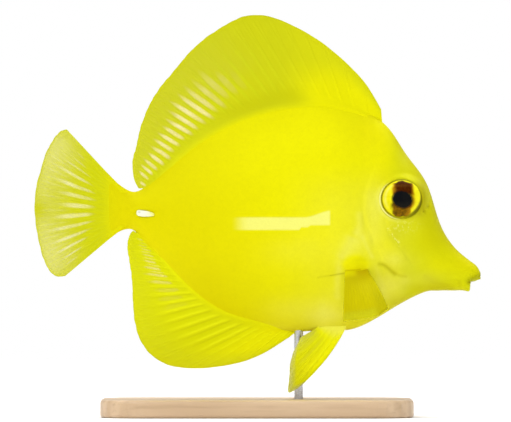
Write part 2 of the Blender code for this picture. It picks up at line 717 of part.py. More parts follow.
def main():
    for obj in list(bpy.data.objects):
        bpy.data.objects.remove(obj)
    scene = bpy.context.scene.collection
    fish = bpy.data.collections.new("yellow_tang")
    cutters = bpy.data.collections.new("cutters")
    scene.children.link(fish)
    scene.children.link(cutters)
    skin = make_material("yellow_skin", YELLOW, 0.35)
    fin = make_material("yellow_fin", FIN_YELLOW, 0.4)
    eye = make_material("eye", EYE_DARK, 0.1)
    white = make_material("spine_white", SPINE_WHITE, 0.3)
    wood = make_material("stand_wood", WOOD, 0.45)
    steel = make_material("stand_steel", STEEL, 0.3, 1.0)

    head_cuts = cutter_set("head_cuts", cutters)
    peduncle_cuts = cutter_set("peduncle_cuts", cutters)
    head_steps = even_steps(GILL_LINE_X - GILL_BOW / 2, line_x[-1], HEAD_STEPS)
    head = loft("head", head_x, head_steps, fish, skin)
    torso = loft("torso", torso_x, even_steps(PEDUNCLE_FRONT, GILL_LINE_X, TORSO_STEPS), fish, skin)
    peduncle = loft("tail_peduncle", peduncle_x, np.linspace(0, 1, PEDUNCLE_STEPS + 1), fish, skin)

    for word, side in (("right", -1), ("left", 1)):
        near, far = sorted((side * COVER_INNER_Y, side * COVER_OUTER_Y))
        cover_cutter = prism(f"cover_cutter_{word}", cover_outline(GAP), near, far, cutters)
        cover = loft(f"gill_cover_{word}", head_x, head_steps, fish, skin)
        boolean(cover, "INTERSECT", other=cover_cutter)
        near, far = sorted((side * (COVER_INNER_Y - GAP), side * COVER_OUTER_Y))
        prism(f"cover_recess_{word}", cover_outline(0), near, far, head_cuts)

        add_eye(f"eye_{word}", side, 0, EYE_STEPS, fish, eye)
        add_eye(f"socket_{word}", side, GAP, SOCKET_STEPS, head_cuts)
        for number, (x, z, radius) in enumerate(NOSTRILS):
            centre = (x, side * float(flank(x, z)), z)
            radii = (radius, NOSTRIL_DEPTH, radius)
            ellipsoid(f"nostril_{number}_{word}", centre, radii, 0, 0, 10, 6, head_cuts)
        pectoral_fin(f"pectoral_fin_{word}", side, fish, fin)
        pelvic_fin(f"pelvic_fin_{word}", side, fish, fin)
        add_tail_spine(f"tail_spine_{word}", side, 0, 12, fish, white)
        add_tail_spine(f"spine_groove_{word}", side, GAP, 16, peduncle_cuts)

    prism("mouth_cutter", MOUTH_OUTLINE, -MOUTH_HALF_WIDTH, MOUTH_HALF_WIDTH, head_cuts)
    boolean(head, "DIFFERENCE", collection=head_cuts)
    boolean(peduncle, "DIFFERENCE", collection=peduncle_cuts)

    median_fin("dorsal_fin", DORSAL_GUIDES, DORSAL_RAYS, DORSAL_ROOT, DORSAL_WAVE, True, fish, fin)
    median_fin("anal_fin", ANAL_GUIDES, ANAL_RAYS, ANAL_ROOT, ANAL_WAVE, False, fish, fin)
    caudal_fin(fish, fin)
    socket = add_stand(fish, cutters, wood, steel)
    boolean(torso, "DIFFERENCE", other=socket)

    for obj in cutters.all_objects:
        obj.hide_render = True
        obj.display_type = "WIRE"


if __name__ == "__main__":
    main()
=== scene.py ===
import math

import bpy
import numpy as np
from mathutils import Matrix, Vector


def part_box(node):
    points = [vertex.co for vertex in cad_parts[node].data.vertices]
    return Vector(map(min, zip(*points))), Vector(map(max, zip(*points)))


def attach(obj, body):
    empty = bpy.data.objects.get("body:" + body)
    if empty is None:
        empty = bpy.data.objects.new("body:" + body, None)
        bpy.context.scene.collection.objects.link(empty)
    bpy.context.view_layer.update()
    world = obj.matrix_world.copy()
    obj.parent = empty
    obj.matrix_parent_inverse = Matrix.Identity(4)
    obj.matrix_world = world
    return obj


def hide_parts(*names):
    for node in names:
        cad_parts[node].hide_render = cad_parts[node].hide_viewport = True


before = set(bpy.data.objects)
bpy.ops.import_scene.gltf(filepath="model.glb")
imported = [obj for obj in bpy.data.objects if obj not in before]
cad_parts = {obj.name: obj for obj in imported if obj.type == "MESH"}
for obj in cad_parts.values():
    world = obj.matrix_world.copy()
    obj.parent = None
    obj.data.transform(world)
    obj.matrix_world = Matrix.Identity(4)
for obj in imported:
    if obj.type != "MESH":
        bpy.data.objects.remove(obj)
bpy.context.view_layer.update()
print("frame loaded")

# Places are in millimetres: x from the middle of the model towards the snout, y to the fish's left, and
# z from the body axis, a level line through the narrow root of the tail.
mm = 0.001
eyeLevel = 2.9
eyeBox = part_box("eye_right")
axisHeight = (eyeBox[0][2] + eyeBox[1][2]) / 2 / mm - eyeLevel


def toWorld(points):
    # millimetres from the axis to metres from the floor
    return (np.asarray(points, float) + (0, 0, axisHeight)) * mm


def smoothStep(x, low, high):
    # 0 below low, 1 above high, and 3t^2 - 2t^3 between
    t = np.clip((x - low) / (high - low), 0, 1)
    return t * t * (3 - 2 * t)


def fadeOut(x, low, high):
    # 1 below low and 0 above high
    return 1 - smoothStep(x, low, high)


def bell(x, centre, width):
    # a bell curve, 1 at its centre and 1/e a width away
    return np.exp(-(((x - centre) / width) ** 2))


def spline(knots, values, at):
    # natural cubic spline: second derivatives from the tridiagonal system, then one cubic per span
    knots = np.asarray(knots, float)
    values = np.asarray(values, float)
    step = np.diff(knots)
    slope = np.diff(values) / step
    count = len(knots)
    matrix = np.eye(count)
    right = np.zeros(count)
    for i in range(1, count - 1):
        matrix[i, i - 1:i + 2] = step[i - 1], 2 * (step[i - 1] + step[i]), step[i]
        right[i] = 6 * (slope[i] - slope[i - 1])
    bend = np.linalg.solve(matrix, right)
    i = np.clip(np.searchsorted(knots, at, side="right") - 1, 0, count - 2)
    t = np.asarray(at, float) - knots[i]
    first = slope[i] - step[i] * (2 * bend[i] + bend[i + 1]) / 6
    return values[i] + t * (first + t * (bend[i] / 2 + t * (bend[i + 1] - bend[i]) / (6 * step[i])))


def measure(*columns):
    # how far along a path each of its points lies, from 0 to 1
    steps = np.sqrt(sum(np.diff(np.asarray(c, float)) ** 2 for c in columns))
    along = np.concatenate([[0], np.cumsum(steps)])
    return along / along[-1]


def lineDistance(x, z, points):
    # distance from each place to a line of straight stretches, and how far along it the nearest point lies
    points = np.asarray(points, float)
    best = np.full(np.shape(x), 1e9)
    share = np.zeros(np.shape(x))
    lengths = np.hypot(*(points[1:] - points[:-1]).T)
    before = np.concatenate([[0], np.cumsum(lengths)])
    for k, (start, end) in enumerate(zip(points[:-1], points[1:])):
        run = end - start
        t = np.clip(((x - start[0]) * run[0] + (z - start[1]) * run[1]) / (run @ run), 0, 1)
        distance = np.hypot(x - start[0] - t * run[0], z - start[1] - t * run[1])
        nearer = distance < best
        best = np.where(nearer, distance, best)
        share = np.where(nearer, (before[k] + t * lengths[k]) / before[-1], share)
    return best, share


def latticeNoise(x, z, size, seed):
    # smooth noise from -1 to 1: random heights on a square lattice, eased between its corners
    heights = np.random.default_rng(seed).uniform(-1, 1, (64, 64))
    gx, gz = np.asarray(x) / size + 640, np.asarray(z) / size + 640
    ix, iz = np.floor(gx).astype(int), np.floor(gz).astype(int)
    fx, fz = smoothStep(gx - ix, 0, 1), smoothStep(gz - iz, 0, 1)
    low = heights[ix % 64, iz % 64] * (1 - fx) + heights[(ix + 1) % 64, iz % 64] * fx
    high = heights[ix % 64, (iz + 1) % 64] * (1 - fx) + heights[(ix + 1) % 64, (iz + 1) % 64] * fx
    return low * (1 - fz) + high * fz


def meshPiece(name, points, faces, attributes, material, body="root"):
    # one smooth mesh object: points, a list of arrays of faces, and attributes with one value per point
    mesh = bpy.data.meshes.new(name)
    flat = np.concatenate([group.reshape(-1) for group in faces])
    sizes = np.concatenate([np.full(len(group), group.shape[1]) for group in faces])
    mesh.vertices.add(len(points))
    mesh.vertices.foreach_set("co", np.asarray(points, np.float32).reshape(-1))
    mesh.loops.add(len(flat))
    mesh.loops.foreach_set("vertex_index", flat.astype(np.int32))
    mesh.polygons.add(len(sizes))
    starts = np.concatenate([[0], np.cumsum(sizes)[:-1]])
    mesh.polygons.foreach_set("loop_start", starts.astype(np.int32))
    mesh.update(calc_edges=True)
    for key, values in attributes.items():
        layer = mesh.attributes.new(key, "FLOAT", "POINT")
        layer.data.foreach_set("value", np.asarray(values, np.float32).reshape(-1))
    mesh.validate()
    mesh.shade_smooth()
    mesh.materials.append(material)
    piece = bpy.data.objects.new(name, mesh)
    bpy.context.scene.collection.objects.link(piece)
    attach(piece, body)
    return piece


def gridFaces(rows, columns, start=0, closed=False, flip=False):
    # quads over a grid of rows by columns of points; closed joins the last column to the first
    i, j = np.meshgrid(np.arange(rows - 1), np.arange(columns if closed else columns - 1), indexing="ij")
    k = (j + 1) % columns
    quads = np.stack([i * columns + j, (i + 1) * columns + j, (i + 1) * columns + k, i * columns + k], -1)
    quads = quads.reshape(-1, 4) + start
    return quads[:, ::-1] if flip else quads


def ballFaces(rows, columns, flip):
    # quads between the inner rows of a ball, and a fan of triangles round the single point at each end
    count = (rows - 2) * columns
    j = np.arange(columns)
    after = (j + 1) % columns
    first = np.stack([np.full(columns, count), j, after], 1)
    last = np.stack([np.full(columns, count + 1), count - columns + after, count - columns + j], 1)
    fans = [fan[:, ::-1] if flip else fan for fan in (first, last)]
    return [gridFaces(rows - 2, columns, closed=True, flip=flip), *fans]


def ballValues(values):
    # values of a ball in the order of its points: the inner rows, then one for each end
    return np.concatenate([values[1:-1].reshape(-1, *values.shape[2:]), values[[0, -1], 0]])


# Materials

class NodeKit:
    # short calls for building a material's nodes
    def __init__(self, name):
        self.material = bpy.data.materials.new(name)
        self.material.use_nodes = True
        self.tree = self.material.node_tree
        self.shader = self.tree.nodes["Principled BSDF"]

    def add(self, kind, **settings):
        made = self.tree.nodes.new(kind)
        for key, value in settings.items():
            setattr(made, key, value)
        return made

    def link(self, source, target):
        self.tree.links.new(source, target)

    def feed(self, socket, value):
        if isinstance(value, bpy.types.NodeSocket):
            self.link(value, socket)
        elif isinstance(value, tuple) and len(value) == 3 and socket.type == "RGBA":
            socket.default_value = (*value, 1)
        else:
            socket.default_value = value

    def attribute(self, name):
        return self.add("ShaderNodeAttribute", attribute_name=name).outputs["Fac"]

    def place(self, scale):
        # Object coordinates, stretched by scale
        coordinates = self.add("ShaderNodeTexCoord").outputs["Object"]
        mapping = self.add("ShaderNodeMapping")
        self.link(coordinates, mapping.inputs["Vector"])
        mapping.inputs["Scale"].default_value = scale
        return mapping.outputs["Vector"]

    def sideView(self):
        # millimetres in the side view: along and up from the body axis, with the distance across left out
        coordinates = self.add("ShaderNodeTexCoord").outputs["Object"]
        mapping = self.add("ShaderNodeMapping")
        self.link(coordinates, mapping.inputs["Vector"])
        mapping.inputs["Scale"].default_value = (1000, 0, 1000)
        mapping.inputs["Location"].default_value = (0, 0, -axisHeight)
        return mapping.outputs["Vector"]

    def vector(self, operation, a, b=(0, 0, 0), scale=None, out="Vector"):
        made = self.add("ShaderNodeVectorMath", operation=operation)
        self.feed(made.inputs[0], a)
        if operation not in ("SCALE", "LENGTH"):
            self.feed(made.inputs[1], b)
        if scale is not None:
            self.feed(made.inputs["Scale"], scale)
        return made.outputs[out]

    def times(self, a, b):
        return self.math("MULTIPLY", a, b)

    def stroke(self, flat, points, half):
        # 1 on a line of straight stretches, falling off as a bell in the distance from it
        best = None
        for start, end in zip(points[:-1], points[1:]):
            run = (end[0] - start[0], 0, end[1] - start[1])
            square = run[0] ** 2 + run[2] ** 2
            away = self.vector("SUBTRACT", flat, (start[0], 0, start[1]))
            share = tuple(c / square for c in run)
            along = self.math("ADD", self.vector("DOT_PRODUCT", away, share, out="Value"), 0.0, clamp=True)
            off = self.vector("SUBTRACT", away, self.vector("SCALE", run, scale=along))
            mark = self.ring(self.vector("LENGTH", off, out="Value"), 0.0, half)
            best = mark if best is None else self.math("MAXIMUM", best, mark)
        return best

    def ring(self, value, centre, half):
        # a bell curve in the shader, 1 at its centre
        ratio = self.math("DIVIDE", self.math("SUBTRACT", value, centre), half)
        return self.math("EXPONENT", self.times(self.times(ratio, ratio), -1.0))

    def noise(self, vector, scale, detail=3.0, roughness=0.55):
        made = self.add("ShaderNodeTexNoise")
        self.link(vector, made.inputs["Vector"])
        made.inputs["Scale"].default_value = scale
        made.inputs["Detail"].default_value = detail
        made.inputs["Roughness"].default_value = roughness
        return made.outputs["Fac"]

    def voronoi(self, vector, scale):
        made = self.add("ShaderNodeTexVoronoi")
        self.link(vector, made.inputs["Vector"])
        made.inputs["Scale"].default_value = scale
        return made.outputs["Distance"]

    def math(self, operation, a, b=0.0, clamp=False):
        made = self.add("ShaderNodeMath", operation=operation, use_clamp=clamp)
        self.feed(made.inputs[0], a)
        self.feed(made.inputs[1], b)
        return made.outputs[0]

    def remap(self, value, low, high, newLow=0.0, newHigh=1.0):
        made = self.add("ShaderNodeMapRange", clamp=True)
        self.feed(made.inputs["Value"], value)
        made.inputs["From Min"].default_value = low
        made.inputs["From Max"].default_value = high
        made.inputs["To Min"].default_value = newLow
        made.inputs["To Max"].default_value = newHigh
        return made.outputs["Result"]

    def step(self, value, low, high, newLow=0.0, newHigh=1.0):
        # a smooth step between two values
        made = self.add("ShaderNodeMapRange", interpolation_type="SMOOTHSTEP")
        self.feed(made.inputs["Value"], value)
        for key, number in (("From Min", low), ("From Max", high), ("To Min", newLow), ("To Max", newHigh)):
            made.inputs[key].default_value = number
        return made.outputs["Result"]

    def mix(self, amount, first, second):
        made = self.add("ShaderNodeMix", data_type="RGBA", clamp_factor=True)
        self.feed(made.inputs[0], amount)
        self.feed(made.inputs[6], first)
        self.feed(made.inputs[7], second)
        return made.outputs[2]

    def bump(self, height, strength, distance, after=None):
        made = self.add("ShaderNodeBump")
        made.inputs["Strength"].default_value = strength
        made.inputs["Distance"].default_value = distance
        self.link(height, made.inputs["Height"])
        if after is not None:
            self.link(after, made.inputs["Normal"])
        return made.outputs["Normal"]

    def finish(self, **sockets):
        for key, value in sockets.items():
            self.feed(self.shader.inputs[key.replace("_", " ")], value)
        return self.material


skinLook = {
    # olive, dark and shade are mostly used as painted shade, and white and cream also as painted highlights
    "lemon": (0.845, 0.805, 0.002),
    "pale": (0.845, 0.825, 0.12),
    "olive": (0.5, 0.47, 0.003),
    "warm": (0.66, 0.58, 0.001),
    "dark": (0.28, 0.22, 0.002),
    "lime": (0.64, 0.65, 0.003),
    "white": (0.96, 0.97, 0.3),
    "ember": (0.52, 0.4, 0.001),
    "cream": (0.97, 0.965, 0.36),
    "shade": (0.38, 0.375, 0.003),
    "scaleSize": 0.42,
    "scaleHeight": 0.00002,
    "roughness": (0.41, 0.54),
    "glint": (1.0, 0.95, 0.15),
    "specular": 0.07,
}
flankHighlightLook = {
    # a painted highlight: the pale band along the flank, soft at its rear end, sharp at its front end, where
    # its top rises
    "strength": 0.62,
    "rear": (-7.0, -2.0),
    "front": (19.2, 19.9),
    "top": (-2.0, 1.85, 12.6, 20.2),  # level, rise, and where the rise starts and ends
    "foot": (-5.35, 0.75, 11.2, 12.0),
    "footStep": (0.55, 13.4, 14.6),
    "edge": 0.32,
}
skinLines = {
    # fine folds drawn in the finish: colour, line, half width, strength, depth in the bump. The colour along
    # the folds and in the mouth's slit is painted shade, lipShade is painted shade under the upper lip, and
    # finRootShadow is painted shadow under the pectoral fin's root
    "flankFold": ("dark", ((19.6, -17.6), (21.4, -17.3), (23.7, -16.9)), 0.15, 0.34, 0.4),
    "flankFoldEnd": ("olive", ((16.4, -18.1), (19.0, -17.7), (23.0, -17.1)), 0.3, 0.26, 0.2),
    "coverFold": ("olive", ((32.9, -14.5), (34.2, -14.8), (35.6, -15.9), (36.9, -17.1)), 0.62, 0.6, 0.5),
    "coverFoldEnd": ("olive", ((36.2, -16.6), (38.0, -17.5), (40.0, -17.9)), 0.38, 0.34, 0.2),
    "coverFoldEdge": ("dark", ((33.6, -14.6), (34.6, -15.0), (36.6, -16.9)), 0.24, 0.1, 0.0),
    "finRootShadow": ("ember", ((23.8, -16.3), (25.6, -16.2), (27.6, -16.0)), 0.26, 0.55, 0.3),
    "lipShade": ("shade", ((60.5, -17.7), (58.9, -18.2), (57.2, -19.2)), 1.0, 0.95, 0.0),
    "mouth": ("dark", ((57.7, -19.35), (56.8, -19.5)), 0.24, 0.55, 0.6),
    "jawFold": ("olive", ((54.7, -19.1), (54.3, -19.7), (54.7, -20.3)), 0.5, 0.22, 0.2),
    "poreLine": ("dark", ((36.0, -6.4), (37.2, -8.0), (38.2, -9.4)), 0.14, 0.1, 0.2),
}
eyeRings = {
    # rings in the skin round the eye: colour, radius, half width, strength, the side it lies on, as a
    # direction along and up from the eye's middle, and how far that way it starts and is full
    # the cream rings are painted highlight on the rim's lower rear side, where the light falls
    "cream": ("cream", 5.8, 0.2, 0.95, (-0.96, -0.28), (1.4, 4.6)),
    "creamSoft": ("white", 6.45, 0.5, 0.14, (-0.9, -0.44), (1.0, 4.8)),
    # painted shade in the gap round the eyeball
    "inner": ("dark", 5.44, 0.11, 0.46, (0.0, 1.0), (-9.0, -7.0)),
    "second": ("dark", 6.1, 0.1, 0.42, (-0.66, -0.75), (5.0, 5.9)),
}


def skinMaterial():
    # lemon ground, tinted by the painted masks, which hold painted shade as well as the fish's own tints,
    # with fine scales in the bump and a little in the colour; the pale band of painted highlight along the
    # flank, the finest folds with painted shade along them, and the rings round the eye in painted shade and
    # painted highlight are drawn from the place in the side view
    kit = NodeKit("skin")
    place = kit.place((1000, 1000, 1000))
    flat = kit.sideView()
    split = kit.add("ShaderNodeSeparateXYZ")
    kit.link(flat, split.inputs[0])
    x, z = split.outputs["X"], split.outputs["Z"]
    mottle = kit.remap(kit.noise(place, 0.11, 4.0), 0.35, 0.7)
    colour = kit.mix(kit.times(mottle, 0.1), skinLook["lemon"], skinLook["warm"])
    for mask in ("lime", "warm", "olive", "pale", "dark"):
        colour = kit.mix(kit.attribute(mask), colour, skinLook[mask])
    freckle = kit.remap(kit.noise(place, 0.75, 5.0, 0.65), 0.42, 0.68)
    colour = kit.mix(kit.times(freckle, 0.09), colour, skinLook["olive"])
    flecks = kit.step(kit.noise(place, 1.15, 4.0, 0.65), 0.5, 0.64)
    colour = kit.mix(kit.times(flecks, kit.attribute("fleck")), colour, skinLook["white"])
    level, rise, start, end = flankHighlightLook["top"]
    top = kit.step(x, start, end, level, level + rise)
    level, rise, start, end = flankHighlightLook["foot"]
    foot = kit.math("ADD", kit.step(x, start, end, level, level + rise),
                    kit.step(x, *flankHighlightLook["footStep"][1:], 0.0, flankHighlightLook["footStep"][0]))
    edge = flankHighlightLook["edge"]
    # the pale band along the flank, a painted highlight
    flankHighlight = kit.times(kit.step(x, *flankHighlightLook["rear"], 0.0, flankHighlightLook["strength"]),
                   kit.step(x, *flankHighlightLook["front"], 1.0, 0.0))
    flankHighlight = kit.times(flankHighlight, kit.step(kit.math("SUBTRACT", z, top), -edge, edge, 1.0, 0.0))
    flankHighlight = kit.times(flankHighlight, kit.step(kit.math("SUBTRACT", z, foot), -edge, edge))
    colour = kit.mix(flankHighlight, colour, skinLook["white"])
    folds = None
    for tint, points, half, strength, deep in skinLines.values():
        line = kit.stroke(flat, points, half)
        colour = kit.mix(kit.times(line, strength), colour, skinLook[tint])
        if deep:
            line = kit.times(line, deep)
            folds = line if folds is None else kit.math("MAXIMUM", folds, line)
    toEye = kit.vector("SUBTRACT", flat, (eyeShape["x"], 0, eyeLevel))
    toEye = kit.vector("MULTIPLY", toEye, (1.0, 0.0, eyeShape["squash"]))
    away = kit.vector("LENGTH", toEye, out="Value")
    for tint, radius, half, strength, (along, up), span in eyeRings.values():
        sideways = kit.vector("DOT_PRODUCT", toEye, (along, 0, up), out="Value")
        mark = kit.times(kit.ring(away, radius, half), kit.step(sideways, *span, 0.0, strength))
        colour = kit.mix(mark, colour, skinLook[tint])
    scales = kit.voronoi(place, 1 / skinLook["scaleSize"])
    edges = kit.remap(scales, 0.25, 0.75)
    colour = kit.mix(kit.times(edges, 0.06), colour, skinLook["olive"])
    normal = kit.bump(scales, 0.5, skinLook["scaleHeight"])
    normal = kit.bump(kit.noise(place, 0.8, 5.0), 0.22, 0.00006, normal)
    normal = kit.bump(kit.math("SUBTRACT", 1.0, folds), 0.8, 0.0002, normal)
    rough = kit.remap(kit.noise(place, 0.5, 3.0), 0.3, 0.7, *skinLook["roughness"])
    return kit.finish(Base_Color=colour, Roughness=rough, Normal=normal, Specular_Tint=skinLook["glint"],
                      Specular_IOR_Level=skinLook["specular"])


finLook = {
    # membrane between the rays, membrane by the flesh, rays, pale lenses, clear outer part, dark edge, whose
    # colour also paints shade on the fins
    "lime": (0.605, 0.615, 0.008),
    "yellow": (0.82, 0.785, 0.002),
    "rayColour": (0.63, 0.7, 0.01),
    "window": (0.95, 0.84, 0.14),
    "clear": (0.7, 0.69, 0.04),
    "rim": (0.54, 0.535, 0.003),
    "pale": (0.86, 0.85, 0.1),
    "rayShare": 0.5,
    "windowAlpha": 0.505,
    "clearAlpha": 0.63,
    "glint": (1.0, 0.95, 0.2),
    "specular": 0.07,
}
finLooks = {
    "dorsal": finLook,
    "anal": dict(finLook, lime=(0.69, 0.71, 0.003), yellow=(0.84, 0.83, 0.002), rayColour=(0.84, 0.87, 0.008),
                 window=(0.9, 0.82, 0.06), rayShare=0.7, windowAlpha=0.6),
    "caudal": dict(finLook, lime=(0.6, 0.615, 0.005), yellow=(0.73, 0.69, 0.002),
                   rayColour=(0.6, 0.63, 0.014), window=(0.82, 0.79, 0.08), clear=(0.76, 0.75, 0.08),
                   windowAlpha=0.56, clearAlpha=0.63),
    # the pectoral's darker olive is painted shade, as the fin faces away from the light, and its brown root
    # colour, under yellow, is painted shadow
    "pectoral": dict(finLook, lime=(0.545, 0.485, 0.001), yellow=(0.55, 0.425, 0.001),
                     rayColour=(0.5, 0.43, 0.001), window=(0.74, 0.68, 0.001), clear=(0.64, 0.63, 0.01),
                     rim=(0.42, 0.385, 0.001), windowAlpha=0.95, clearAlpha=0.7),
    "pelvic": dict(finLook, lime=(0.69, 0.7, 0.004), yellow=(0.9, 0.89, 0.003),
                   rayColour=(0.8, 0.83, 0.008), window=(0.84, 0.83, 0.03), clear=(0.72, 0.73, 0.13),
                   windowAlpha=0.8, clearAlpha=0.54),
}


def finMaterial(name, look):
    # membrane from lime to yellow by tone, rays over it, pale see-through lenses between the rays
    kit = NodeKit(name)
    place = kit.place((1000, 1000, 1000))
    colour = kit.mix(kit.attribute("tone"), look["lime"], look["yellow"])
    colour = kit.mix(kit.attribute("clear"), colour, look["clear"])
    colour = kit.mix(kit.times(kit.attribute("ray"), look["rayShare"]), colour, look["rayColour"])
    window = kit.attribute("window")
    colour = kit.mix(window, colour, look["window"])
    for mask in ("rim", "pale"):
        colour = kit.mix(kit.attribute(mask), colour, look[mask])
    fleck = kit.remap(kit.noise(place, 1.6, 4.0), 0.4, 0.75)
    colour = kit.mix(kit.times(fleck, 0.08), colour, look["rim"])
    alpha = kit.math("SUBTRACT", 1.0, kit.times(window, 1 - look["windowAlpha"]))
    clearing = kit.times(kit.attribute("clear"), 1 - look["clearAlpha"])
    alpha = kit.math("SUBTRACT", alpha, clearing)
    alpha = kit.math("MULTIPLY", alpha, kit.math("SUBTRACT", 1.0, kit.attribute("fade")), clamp=True)
    normal = kit.bump(kit.noise(place, 3.0, 4.0), 0.2, 0.00003)
    rough = kit.remap(kit.noise(place, 0.9, 2.0), 0.3, 0.7, 0.4, 0.52)
    return kit.finish(Base_Color=colour, Roughness=rough, Normal=normal, Alpha=alpha,
                      Specular_Tint=look["glint"], Specular_IOR_Level=look["specular"])


eyeLook = {
    "pupilBlack": (0.0035, 0.0045, 0.0075),
    "yellow": (0.76, 0.68, 0.002),
    "brightYellow": (0.98, 0.92, 0.014),
    "brown": (0.045, 0.007, 0.0005),
    "sienna": (0.095, 0.021, 0.0005),
    "umber": (0.04, 0.013, 0.001),
    "amber": (0.2, 0.072, 0.001),
    "orange": (0.46, 0.2, 0.001),
    # ring paints shade round the eyeball's edge, and outer paints a highlight on the iris
    "ring": (0.13, 0.115, 0.001),
    "outer": (0.88, 0.86, 0.2),
    "glint": (1.0, 0.85, 0.25),
    "specular": 0.09,
}


def eyeMaterial():
    # the masks say where pupil, dark bands, the ring of painted shade and the outer rim of painted highlight
    # lie, and grains mottle them;
    # the streaks also carry painted light
    kit = NodeKit("eye")
    place = kit.place((1000, 1000, 1000))
    streaksAndSideLight = kit.remap(kit.attribute("streaksAndSideLight"), -1.0, 1.0)
    colour = kit.mix(streaksAndSideLight, eyeLook["yellow"], eyeLook["brightYellow"])
    fleck = kit.remap(kit.noise(place, 1.8, 3.0), 0.38, 0.62)
    glow = kit.times(kit.attribute("ember"), kit.remap(fleck, 0.0, 1.0, 0.7, 1.0))
    colour = kit.mix(kit.attribute("glow"), colour, eyeLook["orange"])
    grain = kit.remap(kit.noise(place, 1.25, 4.0, 0.6), 0.4, 0.62)
    below = kit.mix(grain, eyeLook["umber"], eyeLook["amber"])
    below = kit.mix(glow, below, eyeLook["orange"])
    colour = kit.mix(kit.attribute("bandBelow"), colour, below)
    above = kit.mix(kit.times(grain, 0.6), eyeLook["brown"], eyeLook["sienna"])
    above = kit.mix(glow, above, eyeLook["orange"])
    colour = kit.mix(kit.attribute("bandAbove"), colour, above)
    for mask, tint in (("outer", "outer"), ("ring", "ring"), ("halo", "brown"), ("pupil", "pupilBlack")):
        colour = kit.mix(kit.attribute(mask), colour, eyeLook[tint])
    normal = kit.bump(kit.noise(place, 1.5, 2.0), 0.05, 0.00004)
    dull = kit.times(kit.attribute("dull"), 0.45)
    rough = kit.math("ADD", kit.remap(fleck, 0.0, 1.0, 0.1, 0.16), dull)
    return kit.finish(Base_Color=colour, Roughness=rough, Normal=normal, Specular_Tint=eyeLook["glint"],
                      Specular_IOR_Level=eyeLook["specular"])


bladeLook = {
    "white": (0.91, 0.93, 0.74),
    "cream": (0.84, 0.86, 0.58),
    "edge": (0.88, 0.89, 0.28),
    "hinge": (0.42, 0.43, 0.36),
    "roughness": 0.3,
}


def bladeMaterial():
    # white enamel-like blade, greyer at its hinge, with painted shade along a groove on top
    kit = NodeKit("tailBlade")
    place = kit.place((1000, 1000, 1000))
    grain = kit.noise(place, 1.3, 4.0)
    colour = kit.mix(kit.remap(grain, 0.35, 0.7), bladeLook["white"], bladeLook["cream"])
    for mask in ("edge", "hinge"):
        colour = kit.mix(kit.attribute(mask), colour, bladeLook[mask])
    normal = kit.bump(grain, 0.2, 0.00003)
    return kit.finish(Base_Color=colour, Roughness=bladeLook["roughness"], Normal=normal)


woodLook = {
    "early": (0.66, 0.47, 0.29),
    "late": (0.56, 0.38, 0.22),
    "pore": (0.38, 0.23, 0.12),
    "cloud": (0.72, 0.54, 0.36),
    "rings": {"Scale": 0.9, "Distortion": 7.0, "Detail": 3.0, "Detail Scale": 0.8},
    "roughness": (0.36, 0.46),
    "varnish": 0.25,
}


def woodMaterial():
    # maple: growth rings as bands on a slow, wavy distance, with fine pores stretched along the grain
    kit = NodeKit("maple")
    wide = kit.place((14, 90, 90))
    fine = kit.place((60, 900, 900))
    rings = kit.add("ShaderNodeTexWave", wave_type="BANDS", bands_direction="Y")
    kit.link(wide, rings.inputs["Vector"])
    for key, number in woodLook["rings"].items():
        rings.inputs[key].default_value = number
    colour = kit.mix(rings.outputs["Fac"], woodLook["early"], woodLook["late"])
    pores = kit.remap(kit.noise(fine, 1.0, 5.0), 0.52, 0.72)
    colour = kit.mix(kit.times(pores, 0.45), colour, woodLook["pore"])
    cloud = kit.remap(kit.noise(kit.place((9, 30, 30)), 1.0, 3.0), 0.3, 0.7)
    colour = kit.mix(kit.times(cloud, 0.3), colour, woodLook["cloud"])
    normal = kit.bump(pores, 0.3, 0.00005)
    rough = kit.remap(rings.outputs["Fac"], 0.0, 1.0, *woodLook["roughness"])
    return kit.finish(Base_Color=colour, Roughness=rough, Normal=normal, Coat_Weight=woodLook["varnish"],
                      Coat_Roughness=0.3)


steelLook = {
    "bright": (0.66, 0.66, 0.65),
    "dull": (0.61, 0.61, 0.62),
    "roughness": (0.22, 0.36),
}


def steelMaterial():
    # fine rings round the rod, as from a lathe and emery cloth
    kit = NodeKit("brushedSteel")
    rings = kit.noise(kit.place((300, 300, 9000)), 1.0, 4.0)
    smear = kit.noise(kit.place((60, 60, 30)), 1.0, 2.0)
    colour = kit.mix(kit.remap(smear, 0.3, 0.7), steelLook["bright"], steelLook["dull"])
    rough = kit.remap(rings, 0.3, 0.7, *steelLook["roughness"])
    normal = kit.bump(rings, 0.25, 0.00002)
    return kit.finish(Base_Color=colour, Roughness=rough, Normal=normal, Metallic=1.0)


def stageMaterial(name, colour, fade=None):
    # matt paper with a faint speckle, which fades out between two distances from the middle
    kit = NodeKit(name)
    place = kit.place((1, 1, 1))
    speckle = kit.remap(kit.noise(place, 40.0, 2.0), 0.3, 0.7)
    shade = tuple(c * 0.985 for c in colour)
    if fade:
        away = kit.vector("LENGTH", place, out="Value")
        kit.feed(kit.shader.inputs["Alpha"], kit.step(away, *fade, 1.0, 0.0))
    return kit.finish(Base_Color=kit.mix(speckle, colour, shade), Roughness=0.85, Specular_IOR_Level=0.1)


finFinishes = {key: finMaterial(key + "Membrane", look) for key, look in finLooks.items()}
eyeFinish = eyeMaterial()
bladeFinish = bladeMaterial()
print("materials made")


# The body

